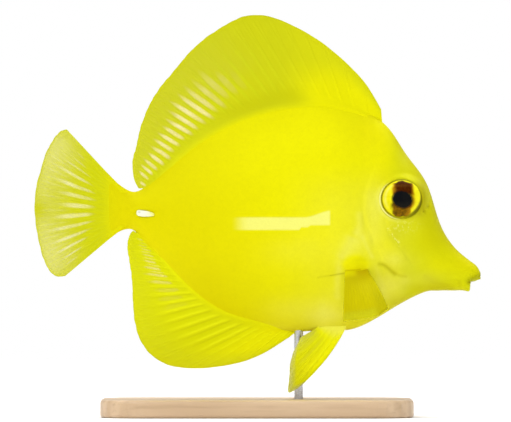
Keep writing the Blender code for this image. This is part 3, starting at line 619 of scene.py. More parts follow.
bodyShape = {
    # place along the fish, back line, belly line, half width, level of that width
    "stations": (
        (-36.6, 6.5, -5.6, 1.6, 0.2),
        (-33.1, 4.9, -5.5, 2.3, -0.3),
        (-31.0, 5.6, -7.7, 2.7, -0.8),
        (-26.9, 8.8, -12.2, 3.4, -1.2),
        (-22.1, 13.7, -17.6, 4.4, -1.8),
        (-15.9, 18.9, -23.6, 5.6, -2.4),
        (-9.0, 23.1, -28.1, 6.7, -3.0),
        (-1.0, 26.5, -30.6, 7.7, -3.5),
        (8.9, 28.7, -32.7, 8.4, -4.0),
        (18.0, 29.1, -32.4, 8.8, -4.2),
        (25.0, 27.7, -32.2, 8.9, -4.0),
        (30.0, 26.0, -30.3, 8.7, -3.0),
        (35.0, 22.5, -27.4, 8.2, -1.8),
        (40.0, 15.2, -24.45, 7.3, -2.0),
        (45.2, 8.0, -22.05, 5.9, -4.6),
        (48.3, -0.88, -21.72, 4.8, -9.6),
        (50.5, -6.3, -21.65, 4.2, -12.8),
        (53.4, -10.3, -21.66, 3.6, -15.2),
        (56.4, -12.95, -21.85, 3.1, -16.7),
        (57.3, -13.65, -21.5, 3.0, -16.8),
        (57.5, -13.8, -19.65, 2.9, -16.8),
        (58.2, -14.28, -19.25, 2.7, -16.9),
        (59.3, -15.3, -18.88, 2.1, -17.1),
        (60.15, -16.95, -18.65, 1.0, -17.8),
    ),
    "backPower": 1.3,  # over 1, a section closes more sharply than an ellipse
    "bellyPower": 1.1,
    "finPower": 0.6,  # and this much more where a fin grows out of it
    "snoutPower": 1.0,
    "snoutFrom": 34.0,
    "snoutTo": 50.0,
    "gillLineX": 34.7,
    "gillBow": 5.9,
    "gillBowLevel": 0.15,
    "gillBowSpread": 0.42,
    "tailReach": 3.6,  # the flesh runs this far over the roots of the tail rays
    "ringsBody": 172,
    "ringsHead": 196,
    "headFrom": 27.0,
    "steps": 128,  # from belly line to back line, on each flank
}
eyeShape = {
    "x": 38.75,
    "radius": 5.7,
    "halfDepth": 3.3,
    "planeY": 7.0,
    "sunk": 1.1,
    "yaw": 9.0,
    "pitch": 4.0,
    "opening": 5.42,
    "squash": 1.08,  # how much flatter than a circle the opening is
    "orbit": (5.7, 7.9),  # the flat round the eye is whole out to the first radius, and gone at the second
}
reliefShape = {
    # heights, depths and radii in millimetres
    "coverHeight": 0.3,  # the gill cover, ahead of its opening, and how far ahead it fades
    "coverReach": 4.0,
    "coverGroove": 0.1,
    "orbitRings": ((6.1, 0.6, 0.2), (7.6, 0.7, -0.05)),  # radius, width, height
    "nostrilRim": 0.1,
    "bladeLip": 0.06,
    "socketDepth": 2.6,
    "socketWall": (-0.55, 0.12),  # from and to this far outside the opening
    "unevenness": ((0.04, 4.5, 3), (0.015, 1.3, 5)),  # height, size, seed
}

table = np.array(bodyShape["stations"]).T
tableAlong = measure(table[0], table[1], table[2] * 0.5)
lineX, lineBack, lineBelly, lineHalf, lineLevel = (
    spline(tableAlong, column, np.linspace(0, 1, 1500)) for column in table
)
lineX = np.maximum.accumulate(lineX)


def backAt(x):
    return np.interp(x, lineX, lineBack)


def bellyAt(x):
    return np.interp(x, lineX, lineBelly)


def levelAt(x):
    return np.interp(x, lineX, lineLevel)


def halfWidthAt(x):
    return np.interp(x, lineX, lineHalf)


def gillLine(share):
    # the gill opening bows back from a level line: place = straight line less a bell in the height share
    bow = bell(share, bodyShape["gillBowLevel"], bodyShape["gillBowSpread"])
    return bodyShape["gillLineX"] - bodyShape["gillBow"] * bow


def eyeBlend(x, z):
    # share of the orbit's flat, and distance from the eye's middle in the side view
    away = np.hypot(x - eyeShape["x"], (z - eyeLevel) * eyeShape["squash"])
    return fadeOut(away, *eyeShape["orbit"]), away


creases = {
    # points, width, depth in millimetres: negative stands proud
    "coverEdge": (((32.6, -14.3), (34.3, -14.8), (35.7, -16.0), (36.9, -17.1), (39.6, -17.9)), 0.65, 0.18),
    "coverRear": (((32.0, 6.0), (30.4, 1.0), (30.6, -5.0), (31.2, -10.5), (32.4, -14.0)), 0.7, 0.1),
    "preopercle": (((34.2, -2.4), (35.3, -6.0), (37.2, -8.6), (39.6, -11.4), (41.6, -14.2), (43.6, -16.6)),
                   0.5, 0.08),
    "girdle": (((26.1, -4.3), (24.2, -8.1), (22.3, -11.8), (21.6, -15.9)), 0.8, -0.16),
    "jaw": (((53.9, -20.2), (53.2, -19.4), (53.6, -18.6)), 0.6, 0.14),
    "upperLip": (((56.4, -18.9), (58.0, -17.5), (59.6, -16.6)), 0.5, 0.14),
    "lowerLip": (((54.8, -20.6), (56.6, -20.5)), 0.6, -0.14),
}
bulges = {
    # place, level, reach along, reach up, height in millimetres
    "finLobe": (26.3, -14.6, 4.0, 1.9, 0.95),
    "cheek": (37.0, -9.5, 6.0, 5.5, 0.25),
    "throatHollow": (41.5, -20.6, 5.5, 1.6, -0.3),
    "breast": (30.0, -24.0, 7.0, 4.0, 0.2),
    "brow": (38.6, 10.4, 4.2, 1.6, 0.2),
    "snoutHollow": (48.5, -8.5, 3.5, 4.0, -0.18),
}
nostrils = ((46.0, 0.9, 0.4, 0.34), (44.9, -0.3, 0.32, 0.28))  # place, level, radius, depth
bladeSeat = {"x": -30.0, "z": -1.0, "halfLength": 2.7, "halfHeight": 1.05, "depth": 0.3}


def flankAt(x, z):
    # half thickness of the body at a place of its side view: an oval section, then its relief
    level = levelAt(x)
    upper = z > level
    reach = np.where(upper, backAt(x) - level, level - bellyAt(x))
    share = np.clip(np.abs(z - level) / np.maximum(reach, 1e-6), 0, 1)
    trunk = np.where(upper, bodyShape["backPower"], bodyShape["bellyPower"])
    trunk = trunk + bodyShape["finPower"] * np.where(upper, fadeOut(x, 28.0, 34.0), fadeOut(x, 2.0, 10.0))
    toSnout = smoothStep(x, bodyShape["snoutFrom"], bodyShape["snoutTo"])
    power = trunk + (bodyShape["snoutPower"] - trunk) * toSnout
    full = (1 - share**2) ** (power / 2)
    y = halfWidthAt(x) * full
    blend, away = eyeBlend(x, z)
    tiltX = math.tan(math.radians(eyeShape["yaw"]))
    tiltZ = math.tan(math.radians(eyeShape["pitch"]))
    plane = eyeShape["planeY"] - tiltX * (x - eyeShape["x"]) - tiltZ * (z - eyeLevel)
    y = y + (plane - y) * blend
    signed = np.where(upper, share, -share)
    ahead = x - gillLine(signed)
    gillShare = bell(signed, -0.05, 0.55)
    cover = bell(ahead, 0, reliefShape["coverReach"]) * smoothStep(ahead, -0.6, 0.5)
    relief = reliefShape["coverHeight"] * cover * gillShare
    relief = relief - reliefShape["coverGroove"] * bell(ahead, -0.6, 0.6) * gillShare
    for radius, width, height in reliefShape["orbitRings"]:
        relief = relief + height * bell(away, radius, width)
    for points, width, depth in creases.values():
        distance, along = lineDistance(x, z, points)
        ends = smoothStep(along, 0, 0.18) * smoothStep(1 - along, 0, 0.12)
        relief = relief - depth * bell(distance, 0, width) * (0.25 + 0.75 * ends)
    for px, pz, rx, rz, height in bulges.values():
        relief = relief + height * bell(x, px, rx) * bell(z, pz, rz)
    for px, pz, radius, depth in nostrils:
        distance = np.hypot(x - px, z - pz)
        rim = bell(distance, radius * 1.7, radius * 0.6)
        relief = relief - depth * bell(distance, 0, radius) + reliefShape["nostrilRim"] * rim
    seat = np.hypot((x - bladeSeat["x"]) / bladeSeat["halfLength"],
                    (z - bladeSeat["z"]) / bladeSeat["halfHeight"])
    relief = relief - bladeSeat["depth"] * fadeOut(seat, 0.75, 1.15)
    relief = relief + reliefShape["bladeLip"] * bell(seat, 1.4, 0.3)
    for height, size, seed in reliefShape["unevenness"]:
        relief = relief + height * latticeNoise(x, z, size, seed)
    wallIn, wallOut = reliefShape["socketWall"]
    socket = fadeOut(away, eyeShape["opening"] + wallIn, eyeShape["opening"] + wallOut)
    socket = reliefShape["socketDepth"] * socket
    return np.maximum(y + relief * np.sqrt(full) - socket, 0.02 * full)


def tailTaper(x):
    # over the tail rays the flesh thins from its full width to nothing, as a quarter of a cosine
    t = np.clip((lineX[0] + 1.4 - x) / (bodyShape["tailReach"] + 1.4), 0, 1)
    return np.cos(t * math.pi / 2) ** 0.8


finBorder = {"back": 1.8, "belly": 0.8}  # half the width of the soft border between flesh and fin


def fleshShare(distance, reach):
    # share of the flesh's colour at a distance out from the outline: 1 inside, half on it, 0 in the fin
    return fadeOut(distance, -reach, reach)


skinPatches = {
    # soft ovals: place, level, reach along, reach up, strength
    "pale": (
        (31.5, 1.6, 2.5, 4.4, 0.44),
        (31.4, -6.5, 3.4, 4.5, 0.2),
        (36.4, -13.4, 3.4, 2.2, 0.34),
        (35.4, -20.6, 4.2, 3.2, 0.5),
        (39.9, 14.6, 1.8, 2.6, 0.12),
        (27.2, -8.0, 1.5, 2.8, 0.3),
        (22.4, -14.0, 1.6, 1.4, 0.26),
        (39.8, -19.0, 1.5, 1.3, 0.2),
        (10.0, -11.0, 8.0, 4.0, 0.1),
        (9.5, -27.0, 7.0, 3.6, 0.18),
        (18.6, -28.2, 4.6, 3.4, 0.52),
        (44.0, -18.4, 6.0, 2.0, 0.16),
        # a painted highlight on the belly's edge by the pelvic fins
        (19.0, -33.0, 4.0, 1.6, 0.3),
        (5.0, -32.0, 5.0, 1.6, 0.14),
        (41.5, -14.5, 4.0, 3.0, 0.1),
    ),
    "olive": (
        # painted shade in front of the eye, on the snout, chin and throat, in the gill opening, above the
        # fin's lobe and in the mouth's corner
        (43.8, 3.2, 1.7, 5.0, 0.8),
        (46.5, -2.0, 2.6, 5.0, 0.4),
        (49.0, -7.5, 3.5, 4.5, 0.2),
        (47.0, -21.0, 6.5, 1.6, 0.4),
        (37.8, -24.6, 6.0, 2.0, 0.5),
        (36.6, -6.5, 1.8, 2.2, 0.3),
        (28.4, -2.9, 0.6, 4.0, 0.26),
        (30.6, -8.9, 0.7, 2.2, 0.26),
        (28.0, -13.4, 1.6, 0.5, 0.24),
        (54.2, -19.6, 0.8, 0.8, 0.3),
    ),
    "warm": (
        (30.5, 21.5, 6.0, 6.0, 0.36),
        (56.5, -14.4, 4.0, 1.8, 0.2),
        (47.5, -8.0, 3.4, 3.6, 0.24),
        (26.4, -14.6, 3.2, 1.5, 0.22),
        (27.8, -15.6, 1.6, 0.6, 0.24),
    ),
    "dark": (
        # painted shade in front of the eye
        (44.6, 3.2, 0.9, 3.6, 0.3),
    ),
}
skinStrokes = {
    # soft lines: points, half width, strength
    "pale": (
        (((27.2, 0.0), (27.6, -4.0), (26.4, -7.0)), 0.9, 0.3),
        (((26.0, -7.0), (24.2, -10.5), (22.6, -13.6)), 1.9, 0.46),
        (((28.0, -6.4), (29.4, -9.8), (31.4, -13.4)), 0.6, 0.3),
        (((31.6, -14.0), (33.4, -20.0), (35.2, -24.4)), 0.8, 0.16),
        (((22.4, -14.4), (21.6, -18.5), (21.6, -24.5)), 0.9, 0.34),
    ),
    "olive": (
        # painted shade along folds of the cheek and the lower jaw
        (((39.2, -9.3), (40.2, -13.8)), 0.6, 0.16),
        (((44.0, -17.4), (48.5, -19.6), (53.5, -21.4)), 1.0, 0.32),
    ),
}


def skinPaint(x, z):
    # masks of colour from the place in the side view, each from 0 to 1
    depth = backAt(x) - z
    rise = z - bellyAt(x)
    _, away = eyeBlend(x, z)
    mottle = latticeNoise(x, z, 2.2, 11) * 0.5 + 0.5
    masks = {key: 0.0 * x for key in ("pale", "olive", "warm", "dark", "lime")}
    for key, patches in skinPatches.items():
        for px, pz, rx, rz, strength in patches:
            masks[key] += strength * bell(x, px, rx) * bell(z, pz, rz)
    for key, strokes in skinStrokes.items():
        for points, width, strength in strokes:
            distance, along = lineDistance(x, z, points)
            ends = smoothStep(along, -0.02, 0.15) * smoothStep(1 - along, -0.02, 0.15)
            masks[key] += strength * bell(distance, 0, width) * ends
    general = smoothStep(x, 4.0, 24.0) * fadeOut(z, 0.0, 14.0)
    masks["pale"] += 0.13 * general * fadeOut(x - 0.3 * z, 39.0, 48.0)
    masks["pale"] *= 0.85 + 0.3 * mottle
    lobe = fadeOut(np.hypot((x - 26.4) / 4.2, (z + 14.6) / 3.0), 0.6, 1.12)
    masks["pale"] *= 1 - lobe
    # painted shade: warmer and darker towards the rear
    slant = x + 0.45 * z
    low = smoothStep(x, -14.0, 4.0) * fadeOut(z, -21.0, -6.0)
    masks["warm"] += 0.6 * fadeOut(slant, -26.0, 16.0) * (1 - 0.6 * low)
    masks["warm"] += 0.12 * bell(x, -35.0, 3.5)
    # painted shade: limier and darker towards the belly and over the head
    masks["lime"] += 0.3 * fadeOut(z, -22.0, -8.0)
    masks["lime"] += 0.2 * smoothStep(x, 18.0, 27.0)
    masks["lime"] *= 1 - 0.9 * lobe
    masks["lime"] += 0.75 * fadeOut(x, -40.5, -35.5)
    # painted shade: the face in front of the cheek is limier where it turns from the light, along an edge
    # that moves forward lower down
    face = smoothStep(x - 2.4 * smoothStep(-z, 7.0, 13.0), 33.8, 38.5)
    face = face * (1 - 0.18 * smoothStep(x, 48.0, 53.0))
    masks["lime"] += 0.62 * face * (1 - 0.6 * bell(z, -15.0, 3.4) * smoothStep(x, 40.0, 49.0))
    headEdge = smoothStep(x, 34.0, 39.5)
    # painted shade: darker along the head's upper outline and the snout's edge, and along the throat and
    # under the jaw
    masks["olive"] += 0.68 * np.exp(-depth / 2.6) * headEdge * (1 - 0.6 * smoothStep(x, 50.0, 57.0))
    masks["olive"] += 0.6 * np.exp(-depth / 0.45) * smoothStep(x, 50.0, 55.0)
    masks["olive"] += 0.5 * np.exp(-rise / 1.6) * smoothStep(x, 27.0, 33.0) * fadeOut(x, 50.0, 55.0)
    masks["olive"] += 0.7 * np.exp(-rise / 0.5) * smoothStep(x, 51.0, 54.0)
    masks["warm"] += 0.3 * np.exp(-depth / 1.5) * headEdge
    # painted shade in front of the eye, with flecks and pores below it
    angle = np.arctan2(z - eyeLevel, x - eyeShape["x"])
    masks["olive"] += 0.55 * bell(away, 5.9, 0.8) * smoothStep(np.cos(angle - math.radians(-10)), 0.2, 0.9)
    toPores, along = lineDistance(x, z, ((35.2, -4.9), (36.4, -6.8), (38.2, -9.2)))
    masks["fleck"] = 0.5 * bell(x, 39.2, 3.0) * bell(z, -4.4, 1.2) + 0.46 * bell(toPores, 0, 0.45)
    # painted shade in the nostrils and in the gap round the eye's lower front
    for px, pz, radius, _ in nostrils:
        masks["dark"] += 0.35 * bell(np.hypot(x - px, z - pz), 0, radius)
    lowerFront = smoothStep(np.cos(angle - math.radians(-35)), 0.1, 0.9)
    masks["dark"] += 0.5 * lowerFront * bell(away, 5.44, 0.16)
    toBack = (1 - fleshShare(-0.8 * depth, finBorder["back"])) * smoothStep(x, -33.0, -29.0)
    toBelly = (1 - fleshShare(-0.85 * rise, finBorder["belly"])) * smoothStep(x, -35.0, -32.0)
    masks["lime"] += toBack * fadeOut(x, 4.0, 20.0) + toBelly * fadeOut(x, -9.0, 3.0)
    return {key: np.clip(value, 0, 1) for key, value in masks.items()}


def makeSkin():
    # rings across the fish: x along, and round each ring the share of the height from belly line to back line
    tail = lineX[0] - bodyShape["tailReach"]
    bodyRings = np.linspace(tail, bodyShape["headFrom"], bodyShape["ringsBody"], endpoint=False)
    headX = np.linspace(bodyShape["headFrom"], lineX[-1] - 0.01, 3000)
    headAlong = measure(headX, backAt(headX) * 0.7, bellyAt(headX) * 0.7)
    headRings = np.interp(np.linspace(0, 1, bodyShape["ringsHead"]), headAlong, headX)
    x = np.concatenate([bodyRings, headRings])[:, None]
    t = np.linspace(-1, 1, bodyShape["steps"] + 1)[None, :]
    share = 0.45 * np.sin(t * math.pi / 2) + 0.55 * t
    inTail = np.clip(lineX[0] - x, 0, None)
    level = levelAt(x)
    top = backAt(x) + inTail * 1.02 - 0.22 * smoothStep(inTail, 0, 1)
    bottom = bellyAt(x) - inTail * 0.78 + 0.22 * smoothStep(inTail, 0, 1)
    z = level + np.where(share > 0, top - level, level - bottom) * share
    x = x + 0 * z
    inside = np.maximum(x, lineX[0])
    zInside = levelAt(inside) + np.where(share > 0, backAt(inside) - level, level - bellyAt(inside)) * share
    y = flankAt(inside, zInside) * tailTaper(x)
    y[:, [0, -1]] = 0
    right = np.stack([x, -y, z], -1)
    left = np.stack([x, y, z], -1)[:, -2:0:-1]
    rings = np.concatenate([right, left], 1)
    count, around = rings.shape[:2]
    masks = skinPaint(x, z)
    attributes = {key: np.concatenate([value, value[:, -2:0:-1]], 1) for key, value in masks.items()}
    faces = [gridFaces(count, around, closed=True, flip=True)]
    ends = np.stack([rings[0].mean(0), rings[-1].mean(0)])
    for ring, pole, flip in ((0, count * around, False), ((count - 1) * around, count * around + 1, True)):
        j = np.arange(around)
        fan = np.stack([ring + j, ring + (j + 1) % around, np.full(around, pole)], 1)
        faces.append(fan[:, ::-1] if flip else fan)
    points = np.concatenate([rings.reshape(-1, 3), ends])
    attributes = {key: value.reshape(-1) for key, value in attributes.items()}
    attributes = {key: np.append(value, value[[0, -1]]) for key, value in attributes.items()}
    skin = meshPiece("fishSkin", toWorld(points), faces, attributes, skinFinish)
    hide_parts("head", "torso", "tail_peduncle", "gill_cover_right", "gill_cover_left")
    return skin


skinFinish = skinMaterial()
skin = makeSkin()
print("skin made:", len(skin.data.polygons), "faces")


# Fins

def rayProfile(lines, rows, spacing, fin):
    # ridge of the nearest ray, from 0 to 1: a bell in the distance from it, which forks twice towards the tip
    off = lines - np.round(lines)
    soft = smoothStep(lines, fin["spines"] - 0.6, fin["spines"] + 0.4)
    fork = fin["fork"] * soft * smoothStep(rows, fin["forkFrom"], 1.0)
    again = 0.45 * fin["fork"] * soft * smoothStep(rows, fin["forkFrom"] + 0.3, 1.05)
    distance = np.abs(np.abs(np.abs(off) - fork) - again) * spacing
    width = fin["rayWidth"] * (1 - 0.5 * rows) * (1 - 0.35 * smoothStep(fork, 0, 0.1))
    joints = 0.5 + 0.5 * np.cos(2 * math.pi * rows * fin["joints"])
    joints = 1 - fin.get("jointDepth", 0.16) * soft * joints * smoothStep(rows, 0.15, 0.4)
    return bell(distance, 0, width) * joints


def paleLenses(lines, rows, fin):
    # see-through lenses between the rays: inside a half width of w (4 s (1 - s))^0.5 of a ray step, where s
    # is u^0.8, and u runs from 0 at the lens's start to 1 at its end
    table = np.array(fin["lenses"]).T
    gap = np.floor(lines) + 0.5
    start, end, strength, half = (np.interp(gap, table[0], column, left=column[0], right=column[-1])
                                  for column in table[1:])
    within = (gap >= table[0][0]) & (gap <= table[0][-1])
    u = np.clip((rows - start) / np.maximum(end - start, 0.01), 0, 1)
    skewed = u**0.8
    width = half * (4 * skewed * (1 - skewed)) ** 0.5
    sway = 0.06 * latticeNoise(gap * 3.7, rows * 5, 1.0, 21)
    off = np.abs(lines - gap - sway)
    inside = fadeOut(off, width - 0.1, width + 0.06)
    fade = smoothStep(u, 0.0, fin.get("lensStart", 0.12)) * (1 - smoothStep(u, 0.62, 1.0) * 0.75)
    grain = 0.9 + 0.2 * latticeNoise(lines * 1.7, rows * 9, 1.0, 22)
    return np.clip(inside * fade * strength * grain * within, 0, 1)


def layOut(fin):
    # ray number of each column, the guides' values there, and the share of the ray at each row
    number = np.linspace(0, fin["rays"] - 1, (fin["rays"] - 1) * fin["perRay"] + 1)
    guides = np.array(fin["guides"]).T
    values = [spline(guides[0], column, number) for column in guides[1:]]
    return number, values, np.linspace(0, 1, fin["rows"]) ** 0.9


def spread(fin, number, root, tip, v):
    # straight rays from root to tip, and their lengths: the root is sunk into the flesh along its ray, and
    # the margin is cut back between the rays by a square of the distance from the ray, and by noise
    along = tip - root
    along = along / np.linalg.norm(along, axis=1, keepdims=True)
    inner = np.clip(np.minimum(number, number[-1] - number), 0, 1)
    off = np.abs(number - np.round(number)) * 2
    ragged = 0.1 * (1 + latticeNoise(number, 0 * number, 0.7, 23)) * inner
    cut = fin.get("trim", 0.0) + fin["scallop"] * off**2 * inner + ragged
    root = root - along * fin["sink"]
    tip = tip - along * cut[:, None]
    middle = root[:, None] + (tip - root)[:, None] * v[None, :, None]
    return middle, np.linalg.norm(tip - root, axis=1)[:, None]


def finMaps(fin, number, middle, v):
    # ray number, share of the ray, and ray ridge at every point
    spacing = np.linalg.norm(np.gradient(middle, axis=0), axis=2) * fin["perRay"]
    rows = v[None, :] + 0 * spacing
    lines = number[:, None] + 0 * spacing
    return lines, rows, rayProfile(lines, rows, spacing, fin)


def finShell(name, middle, rows, ray, fin, masks, node):
    # two faces half a thickness either side of the middle surface, joined all round by a rim. The thickness
    # is the membrane's plus the ridges', less at the margin, and more where the fin leaves the flesh
    thick = fin["membrane"] + fin["rayHeight"] * (1 - 0.6 * rows) * ray
    thick = thick * (1 - 0.45 * smoothStep(rows, 0.9, 1.0))
    sheath = fin["rootThickness"] * np.exp(-np.clip(rows - fin["rootShare"], 0, None) / fin["sheath"])
    thickness = np.maximum(thick, sheath)
    toEdge = np.minimum(np.arange(len(middle)), np.arange(len(middle))[::-1])[:, None] / fin["perRay"]
    thickness = thickness * (1 - fin.get("thinEdge", 0.0) * fadeOut(toEdge, 0.0, 0.4))
    normal = np.cross(np.gradient(middle, axis=0), np.gradient(middle, axis=1))
    normal = normal / np.maximum(np.linalg.norm(normal, axis=2, keepdims=True), 1e-9)
    front = middle + normal * thickness[..., None] / 2
    rear = middle - normal * thickness[..., None] / 2
    count, depth = middle.shape[:2]
    total = count * depth
    index = np.arange(total).reshape(count, depth)
    border = np.concatenate([index[0, :-1], index[:-1, -1], index[-1, :0:-1], index[:0:-1, 0]])
    after = np.roll(border, -1)
    rim = np.stack([border, after, after + total, border + total], 1)
    faces = [gridFaces(count, depth), gridFaces(count, depth, total, flip=True), rim]
    points = np.concatenate([front.reshape(-1, 3), rear.reshape(-1, 3)])
    values = {key: np.tile(np.clip(value, 0, 1).reshape(-1), 2) for key, value in masks.items()}
    piece = meshPiece(name, toWorld(points), faces, values, finFinishes[fin["finish"]])
    piece.data.set_sharp_from_angle(angle=math.radians(60))  # so the rim doesn't darken the faces beside it
    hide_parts(node)
    return piece


medianFins = {
    "dorsal": {
        "node": "dorsal_fin", "finish": "dorsal",
        # ray, root place, tip place, tip level
        "guides": (
            (0, 33.7, 33.4, 27.1), (1, 29.6, 28.7, 34.8), (2, 26.2, 22.7, 40.9), (3, 23.1, 17.5, 45.1),
            (4, 20.3, 12.5, 48.2), (5.5, 16.4, 4.7, 51.8), (7, 12.6, -1.6, 52.5), (9, 7.7, -7.0, 50.8),
            (11, 2.8, -13.1, 47.0), (13, -1.9, -18.5, 42.2), (15, -6.2, -22.7, 37.3),
            (17, -10.5, -26.3, 32.8), (20, -16.6, -29.9, 26.5), (23, -21.7, -31.9, 20.6),
            (26, -26.4, -33.2, 15.0), (28, -28.9, -33.5, 10.3), (28.5, -29.6, -33.0, 8.0),
            (29, -30.6, -31.8, 5.8),
        ),
        # gap between rays, start and end as shares of the ray, strength, half width in ray steps
        "lenses": (
            (11.5, 0.3, 0.6, 0.12, 0.3), (12.5, 0.3, 0.66, 0.28, 0.32), (13.5, 0.3, 0.8, 0.42, 0.34),
            (14.5, 0.21, 0.78, 0.52, 0.3), (15.5, 0.23, 0.8, 0.72, 0.28), (16.5, 0.17, 0.78, 0.88, 0.27),
            (17.5, 0.18, 0.8, 0.95, 0.27), (18.5, 0.18, 0.74, 1.0, 0.26), (19.5, 0.17, 0.69, 1.0, 0.27),
            (20.5, 0.21, 0.67, 1.0, 0.27), (21.5, 0.19, 0.68, 1.0, 0.26), (22.5, 0.2, 0.7, 1.0, 0.26),
            (23.5, 0.16, 0.69, 1.0, 0.26), (24.5, 0.19, 0.7, 1.0, 0.25), (25.5, 0.24, 0.73, 1.0, 0.25),
            (26.5, 0.26, 0.73, 1.0, 0.25), (27.5, 0.29, 0.75, 0.92, 0.22), (28.5, 0.33, 0.74, 0.8, 0.18),
        ),
        "rays": 30, "spines": 5, "perRay": 14, "rows": 44, "wave": 0.5,
        "rootThickness": 1.7, "fork": 0.2, "forkFrom": 0.5, "joints": 34, "lensStart": 0.25,
        "rayWidth": 0.42, "rayHeight": 0.26, "membrane": 0.34, "rootShare": 0.05, "sheath": 0.09,
        "sink": 1.6, "scallop": 0.08,
    },
    "anal": {
        "node": "anal_fin", "finish": "anal",
        "guides": (
            (0, 10.6, 8.2, -34.5), (1, 8.6, 2.0, -38.5), (2, 6.8, -3.8, -40.9), (3, 5.1, -8.9, -42.0),
            (4, 3.3, -13.7, -42.6), (5, 1.4, -18.6, -42.7), (6, -0.8, -23.3, -42.0), (8, -6.7, -29.8, -37.9),
            (10, -12.1, -32.6, -32.6), (12, -15.9, -33.5, -26.6), (13.8, -18.9, -33.8, -21.0),
            (15.6, -21.7, -34.2, -16.5), (17.5, -24.7, -34.7, -12.8), (19.3, -27.6, -35.1, -9.8),
            (20.4, -29.4, -34.9, -7.9), (21.3, -31.1, -34.4, -6.5), (22, -32.4, -33.4, -5.5),
        ),
        "lenses": (
            (11.5, 0.25, 0.66, 0.16, 0.3), (12.5, 0.25, 0.66, 0.3, 0.28), (13.5, 0.23, 0.68, 0.48, 0.27),
            (14.5, 0.27, 0.75, 0.72, 0.25), (15.5, 0.27, 0.78, 0.92, 0.24), (16.5, 0.33, 0.74, 0.95, 0.22),
            (17.5, 0.34, 0.69, 0.92, 0.2), (18.5, 0.28, 0.67, 0.8, 0.18), (19.5, 0.24, 0.64, 0.7, 0.16),
            (20.5, 0.22, 0.58, 0.45, 0.14),
        ),
        "rays": 23, "spines": 3, "perRay": 16, "rows": 40, "wave": -0.5,
        "rootThickness": 1.6, "fork": 0.2, "forkFrom": 0.5, "joints": 30,
        "rayWidth": 0.46, "rayHeight": 0.24, "membrane": 0.34, "rootShare": 0.05, "sheath": 0.09,
        "sink": 1.6, "scallop": 0.08, "trim": 0.12,
    },
}


def makeMedianFin(key):
    # dorsal or anal fin: rays from the outline to the margin, swaying from side to side as a sine along it
    fin = medianFins[key]
    upper = key == "dorsal"
    number, (rootX, tipX, tipZ), v = layOut(fin)
    root = np.stack([rootX, 0 * rootX, (backAt if upper else bellyAt)(rootX)], 1)
    tip = np.stack([tipX, 0 * tipX, tipZ], 1)
    middle, span = spread(fin, number, root, tip, v)
    middle[:, :, 1] = fin["wave"] * np.sin(2.6 * math.pi * number / number[-1])[:, None] * v**2
    lines, rows, ray = finMaps(fin, number, middle, v)
    x = middle[..., 0]
    out = rows * span - fin["sink"]
    window = paleLenses(lines, rows, fin)
    flesh = fleshShare(out + (0.75 if upper else 0.1), finBorder["back" if upper else "belly"])
    if upper:
        wide = smoothStep(x, 12.0, 26.0)
        outward = smoothStep((rows - 0.25 * wide) / (1 + 0.2 * wide), 0.12, 0.62)
        front = smoothStep(x, 4.0, 17.5) * (1 - 0.72 * outward)
        tone = np.maximum(flesh, front)
        clear = 0.22 * smoothStep(rows, 0.35, 0.6) * smoothStep(lines, 7.0, 13.0)
        clear = clear * fadeOut(rows, 0.95, 1.0)
        between = smoothStep(rows, 0.12, 0.25) * fadeOut(rows, 0.55, 0.85)
        softRay = ray * (0.25 + 0.75 * between) * smoothStep(lines, 5.0, 12.0)
        border = smoothStep(lines, 5.5, 8.0) * fadeOut(lines, 13.0, 19.0)
        border = 0.55 * bell(rows, 0.13, 0.12) * border * (1 - flesh)
        spiny = smoothStep(lines, 1.0, 3.0) * fadeOut(lines, 4.0, 9.0)
        shade = 0.12 * (1 - ray) * bell(rows, 0.35, 0.25) * spiny + border
    else:
        front = fadeOut(lines, 3.0, 8.0)
        tone = np.maximum(0.5 * flesh, front * (1 - 0.5 * smoothStep(rows, 0.55, 0.95)))
        clear = 0.1 * smoothStep(rows, 0.5, 0.9)
        between = smoothStep(rows, 0.06, 0.16) * fadeOut(rows, 0.42, 0.8)
        off = lines - np.round(lines)
        among = smoothStep(lines, 4.0, 6.5) * (1 - 0.6 * smoothStep(lines, 12.5, 15.0))
        softRay = bell(off, 0.04, 0.18) * between * (0.15 + 0.85 * among)
        # thin pale streaks on the forked rays at the rear, and painted shade as a dark line along the lower
        # side of each ray
        band = smoothStep(rows, 0.28, 0.38) * fadeOut(rows, 0.52, 0.68)
        window = np.maximum(window, 0.75 * bell(off, 0.0, 0.1) * band * smoothStep(lines, 14.2, 16.0))
        shade = 0.5 * bell(off, -0.28, 0.11) * between * among * (1 - window)
    rim = np.maximum(shade, 0.35 * smoothStep(rows, 0.985, 1.0))
    masks = {"ray": softRay * (1 - flesh), "window": window, "tone": tone, "clear": clear, "rim": rim}
    return finShell(key + "FinFine", middle, rows, ray, fin, masks, fin["node"])


